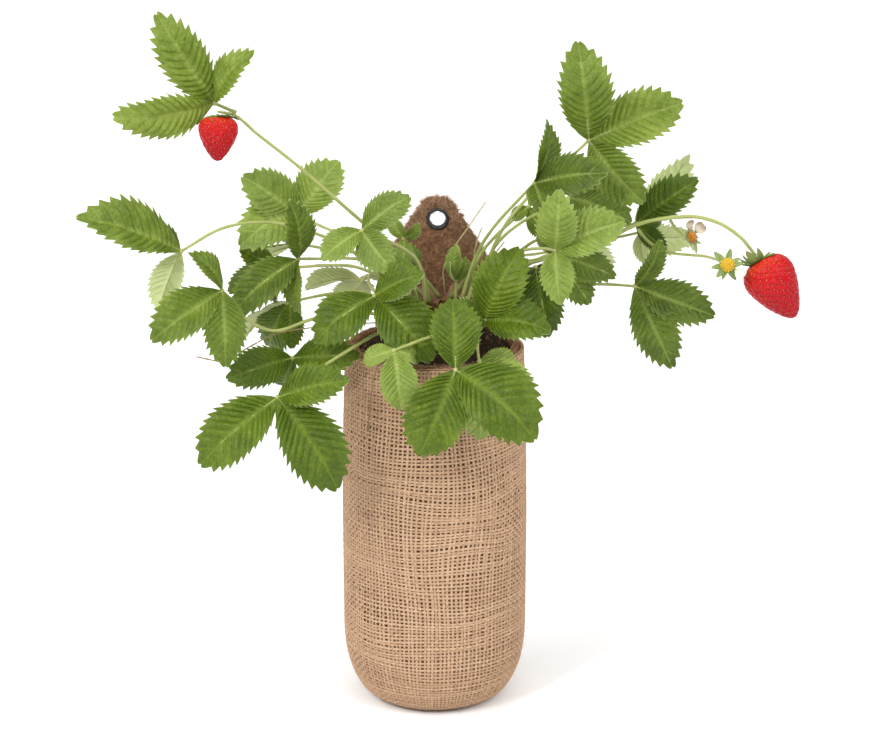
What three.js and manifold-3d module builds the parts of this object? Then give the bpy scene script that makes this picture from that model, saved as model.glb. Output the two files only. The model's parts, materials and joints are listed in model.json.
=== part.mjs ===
// A strawberry plant growing in a round jute bag with a coir liner that rises into a hanging tab.
// Millimetres. +Z up, -Y is the front, origin at the centre of the bag's flat base.
import * as THREE from 'three';
import { mergeVertices } from 'three/addons/utils/BufferGeometryUtils.js';
import Module from 'manifold-3d';

const wasm = await Module();
wasm.setup();

// Driving dimensions
const BAG = {
  height: 238.5,
  wall: 1.6,
  baseRadius: 36, // flat part of the base
  cornerHeight: 46, // rounded lower edge
  lowRadius: 59.6, // just above the rounded edge
  bellyRadius: 60,
  bellyHeight: 128,
  rimRadius: 57.6,
  backPlane: 52, // the back is flattened at this distance from the axis
};
const FIT_GAP = 0.8; // between bag, liner and soil
const LINER_WALL = 4.6;
const TAB = { back: 48, thickness: 4.6, centreX: 1.5, bottom: 226 };
const EYELET = { x: 1.9, z: 311, hole: 5.2, barrel: 6.2, flange: 7.5, lip: 0.8 };
const SOIL = { rim: 234, top: 256 };
const CROWN = { centre: [6, 8], radiusX: 12, radiusY: 8, bottom: 257.5, height: 10 };
const GAP = 0.3; // between pieces that touch
const BLADE = 0.7; // thickness of a leaf blade
const ROUND_SEGMENTS = 28;

// Where a blade is measured along its length, and its half width there as a share of the widest
const STATIONS = [[0, 0.05], [0.07, 0.13], [0.3, 0.78], [0.58, 1], [0.84, 0.74], [1, 0.08]];

// Each leaf: the joint of its leaflets, the points its stalk passes after the crown, the way its
// upper side faces, its leaflets' width as a share of their length, and its leaflets as
// [tip from the joint x, y, z, roll about its own length]
const FRONT = [0, -0.88, 0.48];
const LEAVES = {
  leaf_left_top: {
    joint: [-137, -12, 399],
    root: [-123.5, -11.5, 394.5],
    via: [],
    width: 0.44,
    face: [0.2, -0.95, 0.1],
    leaflets: [[-34, -5, 57, 0], [-61, -14, -8, -15], [22, -26, 38, -62]],
  },
  leaf_left_far: {
    joint: [-159, -20, 306],
    via: [[-60, 2, 305], [-121, -8, 322]],
    width: 0.5,
    face: [0, -0.65, 0.76],
    leaflets: [[-62, -20, 28, 0], [-16, -10, -36, 150], [-47, 25, 11, 40]],
  },
  leaf_left_outer: {
    joint: [-132, -50, 289],
    via: [[-60, -26, 268], [-108, -37, 259]],
    width: 0.55,
    face: FRONT,
    leaflets: [[-44, -15, -27, 0], [2, -20, -43, 0], [-17, -10, 27, 45]],
  },
  leaf_left_light: {
    joint: [-88, 35, 315],
    via: [[-40, 14, 296]],
    width: 0.68,
    face: [0, -0.8, 0.6],
    leaflets: [[-34, -10, 29, 0], [-34, -35, -7, 0], [25, 10, 35, 0]],
  },
  leaf_left_inner: {
    joint: [-86, -15, 300],
    via: [[-35, 0, 292]],
    width: 0.5,
    face: [0, -0.8, 0.6],
    leaflets: [[-4, -15, 41, 30], [-41, -20, -27, 0], [0, -20, -30, 50]],
  },
  leaf_left_behind: {
    joint: [-103, 25, 283],
    via: [[-45, 18, 284]],
    width: 0.58,
    face: FRONT,
    leaflets: [[-22, -10, 15, 0], [-30, -5, -15, 30], [-10, 20, -27, 0]],
  },
  leaf_left_low: {
    joint: [-93, 15, 264],
    via: [[-45, 12, 270]],
    width: 0.56,
    face: FRONT,
    leaflets: [[-33, 20, -29, 20], [1, -10, -29, 0], [-16, 25, -38, 0]],
  },
  leaf_centre_light: {
    joint: [-46, -25, 321],
    via: [[-12, -11, 299]],
    width: 0.62,
    face: [0, -0.8, 0.6],
    leaflets: [[30, 5, 21, 0], [-24, -15, -15, 0], [20, -25, -19, 20]],
  },
  leaf_centre_small: {
    joint: [-20, 5, 308],
    root: [-3, 6, 264.4],
    via: [[-8, 7, 286]],
    width: 0.6,
    face: [0.3, -0.9, 0.3],
    leaflets: [[-1, -10, -17, 0], [11, -2, 10, 25], [-9, 3, 13, -20]],
  },
  leaf_centre_dark: {
    joint: [-38, -45, 284],
    via: [[-14, -18, 282]],
    width: 0.68,
    face: [0, -0.75, 0.66],
    leaflets: [[-37, -15, -24, 0], [29, -10, 18, 0], [36, -15, -38, 0]],
  },
  leaf_front_hanging: {
    joint: [-25, -72, 257],
    via: [[3, -38, 271], [4, -62, 266]],
    width: 0.62,
    face: [0, -0.9, 0.43],
    leaflets: [[4, -10, -36, 0], [-20, 6, -10, 20], [16, 6, -8, -20]],
  },
  leaf_low_left_back: {
    joint: [-90, -30, 239],
    via: [[-46, -9, 265]],
    width: 0.58,
    face: FRONT,
    leaflets: [[-40, -20, -8, 0], [42, -14, 6, 0], [-9, 30, -34, 0]],
  },
  leaf_low_left: {
    joint: [-98, -75, 227],
    via: [[-30, -40, 261], [-66, -68, 247]],
    width: 0.56,
    face: [0, -0.84, 0.54],
    leaflets: [[-49, -10, -40, 0], [38, -10, -57, 0], [43, -10, 15, 0]],
  },
  leaf_front_centre: {
    joint: [13, -82, 246],
    via: [[12, -44, 266]],
    width: 0.68,
    face: [0, -0.84, 0.54],
    leaflets: [[-2, 22, 41, 0], [-22, -12, -51, 0], [49, -20, -37, 0]],
  },
  leaf_front_upper: {
    joint: [32, -30, 263],
    via: [[18, -10, 272]],
    width: 0.66,
    face: [0, -0.84, 0.54],
    leaflets: [[21, 5, 46, 0], [39, -20, 1, 0], [-24, -22, 10, 0]],
  },
  leaf_front_pale: {
    joint: [27, -60, 246],
    via: [[26, -32, 258]],
    width: 0.6,
    face: [0, -0.84, 0.54],
    leaflets: [[34, -8, -22, 0], [2, -7, -50, 0], [26, 10, -4, 0]],
  },
  leaf_right_top: {
    joint: [97, 0, 373],
    via: [[45, 0, 318]],
    width: 0.54,
    face: [0, -0.92, 0.38],
    leaflets: [[-7, -5, 62, 0], [59, 5, 23, 0], [34, -20, -35, 10]],
  },
  leaf_right_upper: {
    joint: [62, -20, 350],
    via: [[30, -4, 306]],
    width: 0.54,
    face: [0, -0.85, 0.5],
    leaflets: [[10, 5, 39, 60], [42, -25, 14, 0], [6, -25, -13, 0]],
  },
  leaf_right_upper_back: {
    joint: [61, 28, 324],
    via: [[30, 20, 294]],
    width: 0.6,
    face: FRONT,
    leaflets: [[-12, -4, -9, 0], [7, -2, -21, 0], [10, 12, 8, 0]],
  },
  leaf_right_light: {
    joint: [85, 10, 334],
    via: [[42, 16, 304]],
    width: 0.62,
    face: FRONT,
    leaflets: [[40, -10, -14, 0], [24, 10, 12, 0], [11, 8, -27, 0]],
  },
  leaf_right_middle: {
    joint: [75, -40, 312],
    via: [[30, -4, 288], [58, -12, 305]],
    width: 0.62,
    face: [0, -0.85, 0.5],
    leaflets: [[2, -10, 40, 0], [42, -10, 21, 0], [3, -20, -28, 0]],
  },
  leaf_right_middle_back: {
    joint: [79, -5, 299],
    via: [[38, 0, 284]],
    width: 0.58,
    face: FRONT,
    leaflets: [[35, -12, -9, 0], [20, -2, -31, 0], [-12, 12, 14, 0]],
  },
  leaf_right_hanging: {
    joint: [64, -12, 294],
    via: [[34, -4, 276]],
    width: 0.58,
    face: FRONT,
    leaflets: [[8, -12, -43, 0], [-14, -14, -12, 30], [8, 14, -10, 0]],
  },
  leaf_right_outer: {
    joint: [127, -10, 280.5],
    via: [[60, 8, 272], [98, 4, 278]],
    width: 0.5,
    face: FRONT,
    leaflets: [[16, -10, 32, 50], [51, -5, -18, 0], [25, -15, -49, 0]],
  },
  leaf_right_far: {
    joint: [128, 12, 316],
    via: [[62, 17, 302], [95, 24, 306]],
    width: 0.48,
    face: FRONT,
    leaflets: [[39, -4, 30, 0], [36, 26, 37, 150], [20, -8, -16, 0]],
  },
  leaf_right_pale: {
    joint: [132, 25, 307],
    via: [[64, 16, 290]],
    width: 0.5,
    face: FRONT,
    leaflets: [[3, 2, -21, 180], [34, 22, -10, 180], [14, 18, 8, 0]],
  },
  leaf_back_left: {
    joint: [-48, 72, 262],
    via: [[-40, 26, 268], [-44, 52, 271]],
    width: 0.58,
    face: [0, 0.7, 0.7],
    leaflets: [[-14, 30, -30, 0], [-38, 10, -8, 0], [24, 30, -10, 0]],
  },
  leaf_back_far_left: {
    joint: [-86, 64, 288],
    via: [[-36, 30, 286]],
    width: 0.56,
    face: [-0.4, 0.5, 0.75],
    leaflets: [[-38, 22, -18, 0], [-12, 40, 4, 0], [-30, -10, 12, 0]],
  },
  leaf_back_right: {
    joint: [40, 76, 256],
    via: [[42, 28, 264], [45, 54, 264]],
    width: 0.58,
    face: [0, 0.7, 0.7],
    leaflets: [[10, 32, -32, 0], [38, 10, -6, 0], [-26, 26, -8, 0]],
  },
  leaf_back_far_right: {
    joint: [78, 56, 286],
    via: [[36, 28, 284]],
    width: 0.56,
    face: [0.4, 0.5, 0.75],
    leaflets: [[40, 24, -16, 0], [8, 40, 0, 0], [34, -12, 10, 0]],
  },
  leaf_young_centre: {
    joint: [14, 6, 279],
    root: [13, 1, 262.8],
    via: [],
    width: 0.5,
    face: [-0.5, -0.85, 0],
    leaflets: [[0, 2, 24, 0], [7, -5, 17, 40], [-5, -7, 15, -40]],
  },
  leaf_young_left: {
    joint: [-14, 24, 272],
    root: [-1, 13, 263.6],
    via: [],
    width: 0.5,
    face: [0.8, -0.6, 0],
    leaflets: [[-6, 5, 30, 0], [-8, -6, 22, -40]],
  },
};
const STALK_RADIUS = 1.15;
const ARCH_SHARE = 0.08; // how far a blade bows up between its joint and tip
const KNOT_RADIUS = 1.7; // the thickened joint of a leaf
const FOLD = 0.2; // rise of the blade's edge as a share of its half width

const materials = {
  jute: new THREE.MeshStandardMaterial({ color: 0xbf997b, roughness: 0.95, metalness: 0 }),
  coir: new THREE.MeshStandardMaterial({ color: 0x7a4f36, roughness: 1, metalness: 0 }),
  metal: new THREE.MeshStandardMaterial({ color: 0x3a3d42, roughness: 0.35, metalness: 0.9 }),
  soil: new THREE.MeshStandardMaterial({ color: 0x2b1d15, roughness: 1, metalness: 0 }),
  crown: new THREE.MeshStandardMaterial({ color: 0x6f4b33, roughness: 0.8, metalness: 0 }),
  leaf: new THREE.MeshStandardMaterial({ color: 0x5f8f35, roughness: 0.55, metalness: 0 }),
  stem: new THREE.MeshStandardMaterial({ color: 0x93a557, roughness: 0.6, metalness: 0 }),
  dry: new THREE.MeshStandardMaterial({ color: 0x6d5138, roughness: 0.9, metalness: 0 }),
  berry: new THREE.MeshStandardMaterial({ color: 0xd01c1f, roughness: 0.25, metalness: 0 }),
  petal: new THREE.MeshStandardMaterial({ color: 0xf3efe2, roughness: 0.7, metalness: 0 }),
  pollen: new THREE.MeshStandardMaterial({ color: 0xd9a51c, roughness: 0.8, metalness: 0 }),
};

// One closed surface with shared vertices, no empty triangles, and its faces pointing out
function closed(geometry) {
  const bare = geometry.index ? geometry.toNonIndexed() : geometry.clone();
  bare.deleteAttribute('normal');
  bare.deleteAttribute('uv');
  const merged = mergeVertices(bare, 1e-4);
  const at = merged.getAttribute('position');
  const corner = [0, 1, 2].map(() => new THREE.Vector3());
  const kept = [];
  let volume = 0;
  for (let i = 0; i < merged.index.count; i += 3) {
    const [a, b, c] = [0, 1, 2].map((k) => merged.index.getX(i + k));
    if (a === b || b === c || c === a) continue;
    kept.push(a, b, c);
    [a, b, c].forEach((v, k) => corner[k].fromBufferAttribute(at, v));
    volume += corner[0].dot(corner[1].clone().cross(corner[2]));
  }
  if (volume < 0) kept.reverse();
  merged.setIndex(kept);
  return merged;
}

function solid(geometry) {
  const shape = closed(geometry);
  return new wasm.Manifold(new wasm.Mesh({
    numProp: 3,
    vertProperties: new Float32Array(shape.getAttribute('position').array),
    triVerts: new Uint32Array(shape.index.array),
  }));
}

function surface(manifold) {
  const mesh = manifold.getMesh();
  const geometry = new THREE.BufferGeometry();
  geometry.setAttribute('position', new THREE.BufferAttribute(new Float32Array(mesh.vertProperties), 3));
  geometry.setIndex(new THREE.BufferAttribute(new Uint32Array(mesh.triVerts), 1));
  return geometry;
}

function piece(name, geometry, material) {
  const mesh = new THREE.Mesh(closed(geometry), material);
  mesh.name = name;
  return mesh;
}

function vec(point) {
  return new THREE.Vector3(...point);
}

// --- bag, liner, soil -------------------------------------------------------------------------

// Radius of the bag's side at height z: a shallow curve through foot, belly and rim
function sideRadius(z) {
  const end = z < BAG.bellyHeight ? BAG.lowRadius : BAG.rimRadius;
  const reach = z < BAG.bellyHeight ? BAG.bellyHeight - BAG.cornerHeight : BAG.height - BAG.bellyHeight;
  const share = (z - BAG.bellyHeight) / reach;
  return BAG.bellyRadius - (BAG.bellyRadius - end) * share * share;
}

// The bag's profile, from the centre of its base to `top`, moved inwards by `inset`
function profile(inset, top) {
  const points = [[0, inset]];
  const arcSteps = 5;
  for (let i = 0; i <= arcSteps; i++) {
    const turn = (i / arcSteps) * (Math.PI / 2);
    const r = BAG.baseRadius + (BAG.lowRadius - inset - BAG.baseRadius) * Math.sin(turn);
    points.push([r, inset + BAG.cornerHeight * (1 - Math.cos(turn))]);
  }
  for (const z of [90, 128, 185].filter((height) => height < top - 10)) {
    points.push([sideRadius(z) - inset, z]);
  }
  points.push([sideRadius(top) - inset, top]);
  return points;
}

// Turns a profile about the axis, and presses the back flat: insets[i] belongs to points[i]
function turned(points, insets) {
  const outline = points.map(([r, z]) => new THREE.Vector2(r, z));
  const geometry = new THREE.LatheGeometry(outline, ROUND_SEGMENTS);
  geometry.rotateX(Math.PI / 2);
  const at = geometry.getAttribute('position');
  const sharpness = 24;
  for (let i = 0; i < at.count; i++) {
    const [x, y] = [at.getX(i), at.getY(i)];
    const r = Math.hypot(x, y);
    if (y <= 0 || r < 1) continue;
    const limit = (BAG.backPlane - insets[i % points.length]) * (r / y);
    const pressed = (r ** -sharpness + limit ** -sharpness) ** (-1 / sharpness);
    at.setX(i, (x * pressed) / r);
    at.setY(i, (y * pressed) / r);
  }
  return geometry;
}

function shell(inset, wall, top) {
  const outer = profile(inset, top);
  const inner = profile(inset + wall, top).reverse();
  const insets = [...outer.map(() => inset), ...inner.map(() => inset + wall)];
  return turned([...outer, ...inner], insets);
}

function tabBoard() {
  const side = [[20, TAB.bottom], [20, 240], [29, 252], [34.5, 270], [35, 280], [31, 290], [25.5, 298],
    [18.5, 309], [11, 321], [6, 326]];
  const mirrored = side.map(([x, z]) => [-x, z]).reverse();
  const outline = new THREE.Shape([...side, ...mirrored].map(([x, z]) => new THREE.Vector2(x + TAB.centreX, z)));
  const hole = new THREE.Path();
  hole.absarc(EYELET.x, EYELET.z, EYELET.barrel + GAP, 0, Math.PI * 2, true);
  outline.holes.push(hole);
  const board = new THREE.ExtrudeGeometry(outline, { depth: TAB.thickness, bevelEnabled: false, curveSegments: 7 });
  board.rotateX(Math.PI / 2);
  board.translate(0, TAB.back, 0);
  return board;
}

function coirLiner() {
  const cup = solid(shell(BAG.wall + FIT_GAP, LINER_WALL, BAG.height - 0.5));
  return surface(cup.add(solid(tabBoard())));
}

function hangingEyelet() {
  const { hole, barrel, flange, lip } = EYELET;
  const reach = TAB.thickness / 2 + GAP;
  const ring = [[hole, -reach - lip], [flange, -reach - lip], [flange, -reach], [barrel, -reach], [barrel, reach],
    [flange, reach], [flange, reach + lip], [hole, reach + lip], [hole, -reach - lip]];
  const geometry = new THREE.LatheGeometry(ring.map(([r, y]) => new THREE.Vector2(r, y)), 16);
  geometry.translate(EYELET.x, TAB.back - TAB.thickness / 2, EYELET.z);
  return geometry;
}

function soilHeight(r) {
  const share = Math.min(1, r / 50);
  return SOIL.rim + (SOIL.top - SOIL.rim) * (1 - share * share);
}

function rootBall() {
  const inset = BAG.wall + FIT_GAP + LINER_WALL + FIT_GAP;
  const side = profile(inset, SOIL.rim);
  const dome = [40, 28, 15, 0].map((r) => [r, soilHeight(r)]);
  const points = [...side, ...dome];
  return turned(points, points.map(() => inset + 1.8));
}

// --- plant ------------------------------------------------------------------------------------

function crown() {
  const geometry = new THREE.SphereGeometry(1, 14, 8);
  geometry.rotateX(Math.PI / 2);
  geometry.scale(CROWN.radiusX, CROWN.radiusY, CROWN.height);
  geometry.translate(...CROWN.centre, CROWN.bottom);
  const at = geometry.getAttribute('position');
  for (let i = 0; i < at.count; i++) at.setZ(i, Math.max(at.getZ(i), CROWN.bottom));
  return geometry;
}

function tube(points, radius, steps, sides = 5) {
  const section = new THREE.Shape();
  for (let i = 0; i < sides; i++) {
    const turn = (i / sides) * Math.PI * 2;
    section[i ? 'lineTo' : 'moveTo'](radius * Math.cos(turn), radius * Math.sin(turn));
  }
  const path = new THREE.CatmullRomCurve3(points.map(vec), false, 'centripetal');
  return new THREE.ExtrudeGeometry(section, { steps, bevelEnabled: false, extrudePath: path });
}

// A thin leaflet from the joint to its tip, folded up along its midrib
function blade(joint, [x, y, z, roll], face, widthShare) {
  const along = new THREE.Vector3(x, y, z);
  const length = along.length();
  along.normalize();
  const up = vec(face).addScaledVector(along, -vec(face).dot(along)).normalize();
  up.applyAxisAngle(along, THREE.MathUtils.degToRad(roll));
  const across = new THREE.Vector3().crossVectors(up, along);
  const halfWidth = (length * widthShare) / 2;
  const last = STATIONS.length - 1;
  const geometry = new THREE.BoxGeometry(last, 2, 1, last, 2, 1);
  const at = geometry.getAttribute('position');
  for (let i = 0; i < at.count; i++) {
    const [station, width] = STATIONS[Math.round(at.getX(i) + last / 2)];
    const share = Math.max(station, (KNOT_RADIUS * 0.4) / length);
    const side = Math.round(at.getY(i)) * width * halfWidth;
    const rise = 4 * ARCH_SHARE * length * share * (1 - share) + FOLD * Math.abs(side);
    const point = vec(joint)
      .addScaledVector(along, share * length)
      .addScaledVector(across, side + Math.sign(side) * BLADE * 0.3)
      .addScaledVector(up, rise + at.getZ(i) * BLADE);
    at.setXYZ(i, point.x, point.y, point.z);
  }
  return geometry;
}

function leaf({ joint, root, via, width, face, leaflets }) {
  const stalk = tube([root, ...via, joint], STALK_RADIUS, 6);
  const hub = new THREE.IcosahedronGeometry(KNOT_RADIUS, 0).translate(...joint);
  const blades = leaflets.map((leaflet) => solid(blade(joint, leaflet, face, width)));
  return surface(blades.reduce((sum, next) => sum.add(next), solid(stalk).add(solid(hub))));
}

// Stalks leave the crown in the order in which their leaves stand around the bag:
// the steep ones close to it, the shallow ones from a wider ring
function placeRoots(leaves) {
  const steepFrom = 284;
  const heading = ({ via, joint }) => {
    const [x, y] = via[0] ?? joint;
    return Math.atan2(y - CROWN.centre[1], x - CROWN.centre[0]);
  };
  const free = Object.values(leaves).filter((spec) => !spec.root);
  const steep = free.filter(({ via }) => via[0][2] >= steepFrom);
  const shallow = free.filter(({ via }) => via[0][2] < steepFrom);
  for (const [ring, spacing, group] of [[1.32, 0.28, steep], [2, 0.2, shallow]]) {
    group.sort((a, b) => heading(a) - heading(b));
    spread(group.map(heading), spacing).forEach((turn, order) => {
      const x = CROWN.centre[0] + CROWN.radiusX * ring * Math.cos(turn);
      const y = CROWN.centre[1] + CROWN.radiusY * ring * Math.sin(turn);
      group[order].root = [x, y, soilHeight(Math.hypot(x, y)) + 1.6];
    });
  }
}

// Moves sorted angles on a circle apart until neighbours are at least `spacing` from each other
function spread(angles, spacing) {
  const rounds = 400;
  for (let round = 0; round < rounds; round++) {
    angles.forEach((angle, i) => {
      const next = (i + 1) % angles.length;
      const gap = angles[next] + (next ? 0 : Math.PI * 2) - angles[i];
      const push = Math.max(0, spacing - gap) / 2;
      angles[i] -= push;
      angles[next] += push;
    });
  }
  return angles;
}

// --- fruit and flowers ------------------------------------------------------------------------

const FRUIT_STEM = [[3, 9, 268.3], [-8, 12, 281], [-24, 12, 297], [-51, 2, 324], [-85, -6, 357], [-118, -13, 386],
  [-127, -17, 395.5], [-132, -20.5, 398.6], [-134.4, -22.3, 396.4]];
const TRUSS_STEM = [[10, 12, 266.4], [24, 13, 281], [56, 8, 291], [97, 0, 301], [127, -8, 320], [147, -14, 326], [168, -12, 326],
  [187, -10, 318], [200, -10, 306], [204, -10, 300.5]];
const OPEN_STALK = [[128.5, -10, 318], [140, -10, 306], [155, -10, 301.5], [170, -12, 301], [181, -17, 299]];
const FADED_STALK = [[149, -11.5, 324], [153, -11, 318], [158, -13, 314]];
const DRY_STALKS = {
  dry_stalk_front: [[-3, -24, 253.5], [-27, -49, 251], [-36, -56, 239], [-40, -54, 221], [-42, -51, 196]],
  dry_stalk_left: [[-22, 0, 254], [-60, -4, 253], [-104, -12, 248], [-136, -40, 238], [-150, -44, 243]],
  dry_stalk_tall: [[8, 20, 262], [6, 22, 284], [20, 24, 308], [33, 26, 327]],
  dry_stalk_short: [[22, 27, 249], [25, 27, 284], [27, 28, 298], [31, 30, 309]],
  dry_stalk_right: [[40, 8, 243], [39, 14, 270], [40, 20, 296], [45, 20, 303]],
};

const SMALL_BERRY = { top: [-134.5, -22.5, 393], tip: [-135, -27, 366], radius: 12 };
const LARGE_BERRY = { top: [206, -10.5, 296.5], tip: [229, -20, 263], radius: 16.3 };
const OPEN_FLOWER = { centre: [184.5, -21, 297], axis: [0.1, -0.85, 0.5], radius: 9, eye: 4.8 };
const FADED_FLOWER = { centre: [161, -16, 313.5], axis: [0.55, -0.6, 0.5], radius: 7, eye: 4.2 };

// Puts a shape made about +Z at `origin`, with its +Z turned to `direction`
function aim(geometry, origin, direction) {
  const turn = new THREE.Quaternion().setFromUnitVectors(new THREE.Vector3(0, 0, 1), direction.clone().normalize());
  return geometry.applyQuaternion(turn).translate(...origin);
}

function lathed(points, segments) {
  const geometry = new THREE.LatheGeometry(points.map(([r, z]) => new THREE.Vector2(r, z)), segments);
  return geometry.rotateX(Math.PI / 2);
}

function berry({ top, tip, radius }) {
  const axis = vec(tip).sub(vec(top));
  const length = axis.length();
  const outline = [[0, 0.02], [0.45, 0], [0.8, 0.07], [1, 0.24], [0.97, 0.42], [0.78, 0.66], [0.5, 0.86], [0.24, 0.97],
    [0, 1]];
  return aim(lathed(outline.map(([r, z]) => [r * radius, z * length]), 16), top, axis);
}

// The leafy collar over the berry's shoulders
function calyx({ top, tip, radius }) {
  const axis = vec(tip).sub(vec(top));
  const reach = radius * 0.66;
  const lift = 0.4;
  const outline = [[0, -lift - 1], [reach * 0.5, -lift - 0.8], [reach, -lift - 0.3], [reach, -lift + 0.2],
    [reach * 0.5, -lift], [0, -lift]];
  return aim(lathed(outline, 14), top, axis);
}

function flowerCalyx({ centre, axis, radius }) {
  const disc = new THREE.CylinderGeometry(radius, radius * 0.5, 1, 14).rotateX(Math.PI / 2);
  return aim(disc, centre, vec(axis));
}

function flowerCentre({ centre, axis, eye }) {
  const dome = lathed([[0, 0.8], [eye * 0.8, 0.8], [eye, 2], [eye * 0.75, 4], [0, 5]], 14);
  return aim(dome, centre, vec(axis));
}

// A petal lying beside the flower's centre, in the direction `towards`
function petal({ centre, axis, eye }, towards, length, tilt) {
  const disc = new THREE.CylinderGeometry(length / 2, length / 2, 0.6, 12).rotateX(Math.PI / 2);
  const out = vec(towards).addScaledVector(vec(axis).normalize(), -vec(towards).dot(vec(axis).normalize()));
  out.normalize();
  const normal = vec(axis).normalize().addScaledVector(out, -tilt);
  const middle = vec(centre).addScaledVector(out, eye + 0.6 + length / 2 * Math.cos(Math.atan(tilt)));
  middle.addScaledVector(vec(axis).normalize(), 1.2 + tilt * length * 0.42);
  return aim(disc, middle.toArray(), normal);
}

// --- assembly ---------------------------------------------------------------------------------

function build() {
  const group = new THREE.Group();
  group.add(
    piece('jute_bag', shell(0, BAG.wall, BAG.height), materials.jute),
    piece('coir_liner', coirLiner(), materials.coir),
    piece('hanging_eyelet', hangingEyelet(), materials.metal),
    piece('soil', rootBall(), materials.soil),
    piece('crown', crown(), materials.crown),
  );
  placeRoots(LEAVES);
  for (const [name, spec] of Object.entries(LEAVES)) group.add(piece(name, leaf(spec), materials.leaf));
  group.add(
    piece('fruit_stem_left', tube(FRUIT_STEM, 1.1, 12), materials.stem),
    piece('truss_stem_right', tube(TRUSS_STEM, 1.4, 14), materials.stem),
    piece('flower_stalk_open', tube(OPEN_STALK, 0.9, 6), materials.stem),
    piece('flower_stalk_faded', tube(FADED_STALK, 0.8, 3), materials.stem),
  );
  for (const [name, points] of Object.entries(DRY_STALKS)) {
    group.add(piece(name, tube(points, 0.7, 7), materials.dry));
  }
  group.add(
    piece('berry_small', berry(SMALL_BERRY), materials.berry),
    piece('calyx_small', calyx(SMALL_BERRY), materials.leaf),
    piece('berry_large', berry(LARGE_BERRY), materials.berry),
    piece('calyx_large', calyx(LARGE_BERRY), materials.leaf),
    piece('flower_open_calyx', flowerCalyx(OPEN_FLOWER), materials.leaf),
    piece('flower_open_centre', flowerCentre(OPEN_FLOWER), materials.pollen),
    piece('flower_open_petal', petal(OPEN_FLOWER, [1, 0, -0.8], 8, 0.3), materials.petal),
    piece('flower_faded_calyx', flowerCalyx(FADED_FLOWER), materials.leaf),
    piece('flower_faded_centre', flowerCentre(FADED_FLOWER), materials.pollen),
    piece('flower_faded_petal_1', petal(FADED_FLOWER, [1, 0, 0.9], 8, 0.9), materials.petal),
    piece('flower_faded_petal_2', petal(FADED_FLOWER, [0, 0, 1], 7, 0.9), materials.petal),
  );
  return group;
}

export default build();
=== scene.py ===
# The looks of a strawberry plant in a jute hanging bag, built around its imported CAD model.
import json
import math
import bpy
import numpy as np
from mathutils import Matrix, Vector, noise
from mathutils.bvhtree import BVHTree


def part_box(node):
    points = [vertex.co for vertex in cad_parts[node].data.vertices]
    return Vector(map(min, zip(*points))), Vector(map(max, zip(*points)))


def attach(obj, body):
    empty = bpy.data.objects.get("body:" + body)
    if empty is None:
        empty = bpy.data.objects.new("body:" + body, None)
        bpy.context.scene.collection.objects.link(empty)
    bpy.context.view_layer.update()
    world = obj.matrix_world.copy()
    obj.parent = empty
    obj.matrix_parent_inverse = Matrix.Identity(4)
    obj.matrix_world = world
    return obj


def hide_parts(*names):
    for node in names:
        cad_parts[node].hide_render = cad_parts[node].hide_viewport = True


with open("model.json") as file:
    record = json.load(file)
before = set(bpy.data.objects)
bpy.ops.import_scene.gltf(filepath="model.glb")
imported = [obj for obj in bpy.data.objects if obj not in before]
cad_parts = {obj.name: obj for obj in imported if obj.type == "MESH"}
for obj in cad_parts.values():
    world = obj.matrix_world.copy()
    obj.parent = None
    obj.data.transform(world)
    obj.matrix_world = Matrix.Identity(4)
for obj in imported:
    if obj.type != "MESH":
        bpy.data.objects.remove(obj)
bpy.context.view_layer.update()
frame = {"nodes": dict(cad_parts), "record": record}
BODY = "root"
SLOT_OF = {part["node"]: part["material_slot"] for part in frame["record"]["subparts"]}
UP = np.array([0.0, 0.0, 1.0])
GOLDEN_TURN = 2.39996  # the angle between one scale or seed and the next


# --- numbers and vectors ----------------------------------------------------------------------

def unit(v):
    v = np.asarray(v, float)
    return v / max(np.linalg.norm(v), 1e-12)


def smooth(low, high, x):
    t = np.clip((np.asarray(x, float) - low) / (high - low), 0, 1)
    return t * t * (3 - 2 * t)


def mix(a, b, t):
    return a + (b - a) * t


def circle(count):
    """The angles of a full turn in `count` even steps."""
    return np.arange(count) * 2 * math.pi / count


def spoke(angle, side, other):
    """The direction at an angle between two directions that are square to each other."""
    return math.cos(angle) * side + math.sin(angle) * other


def directions(path):
    """The path's unit direction at each of its points."""
    ways = np.gradient(path, axis=0)
    return ways / np.linalg.norm(ways, axis=1, keepdims=True)


def evenly(points, steps):
    """The path through the points, cut anew at `steps` even places."""
    points = np.asarray(points, float)
    run = np.concatenate([[0], np.cumsum(np.linalg.norm(np.diff(points, axis=0), axis=1))])
    even = np.linspace(0, run[-1], steps)
    return np.stack([np.interp(even, run, column) for column in points.T], 1)


def softened(points, times):
    """The path with its corners eased; its ends stay."""
    points = points.copy()
    for _ in range(times):
        points[1:-1] = (points[:-2] + 2 * points[1:-1] + points[2:]) / 4
    return points


def seed_of(name):
    """A number for seeding a piece's random draws, from its name."""
    return sum(ord(letter) * (place + 7) for place, letter in enumerate(name))


def middle(node):
    low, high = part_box(node)
    return (np.array(low) + np.array(high)) / 2


# --- meshes -----------------------------------------------------------------------------------

def make(name, verts, faces, materials, slots=None, values=None, flat=False):
    """A mesh object: slots has each face's material, values has named numbers for each vertex."""
    mesh = bpy.data.meshes.new(name)
    mesh.from_pydata(np.asarray(verts, float).tolist(), [], [tuple(f) for f in faces])
    for material in materials:
        mesh.materials.append(material)
    if slots is not None:
        mesh.polygons.foreach_set("material_index", np.asarray(slots, np.int32))
    for key, numbers in (values or {}).items():
        layer = mesh.attributes.new(key, "FLOAT", "POINT")
        layer.data.foreach_set("value", np.asarray(numbers, np.float32))
    mesh.polygons.foreach_set("use_smooth", np.full(len(mesh.polygons), not flat))
    mesh.update()
    obj = bpy.data.objects.new(name, mesh)
    bpy.context.scene.collection.objects.link(obj)
    return obj


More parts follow.
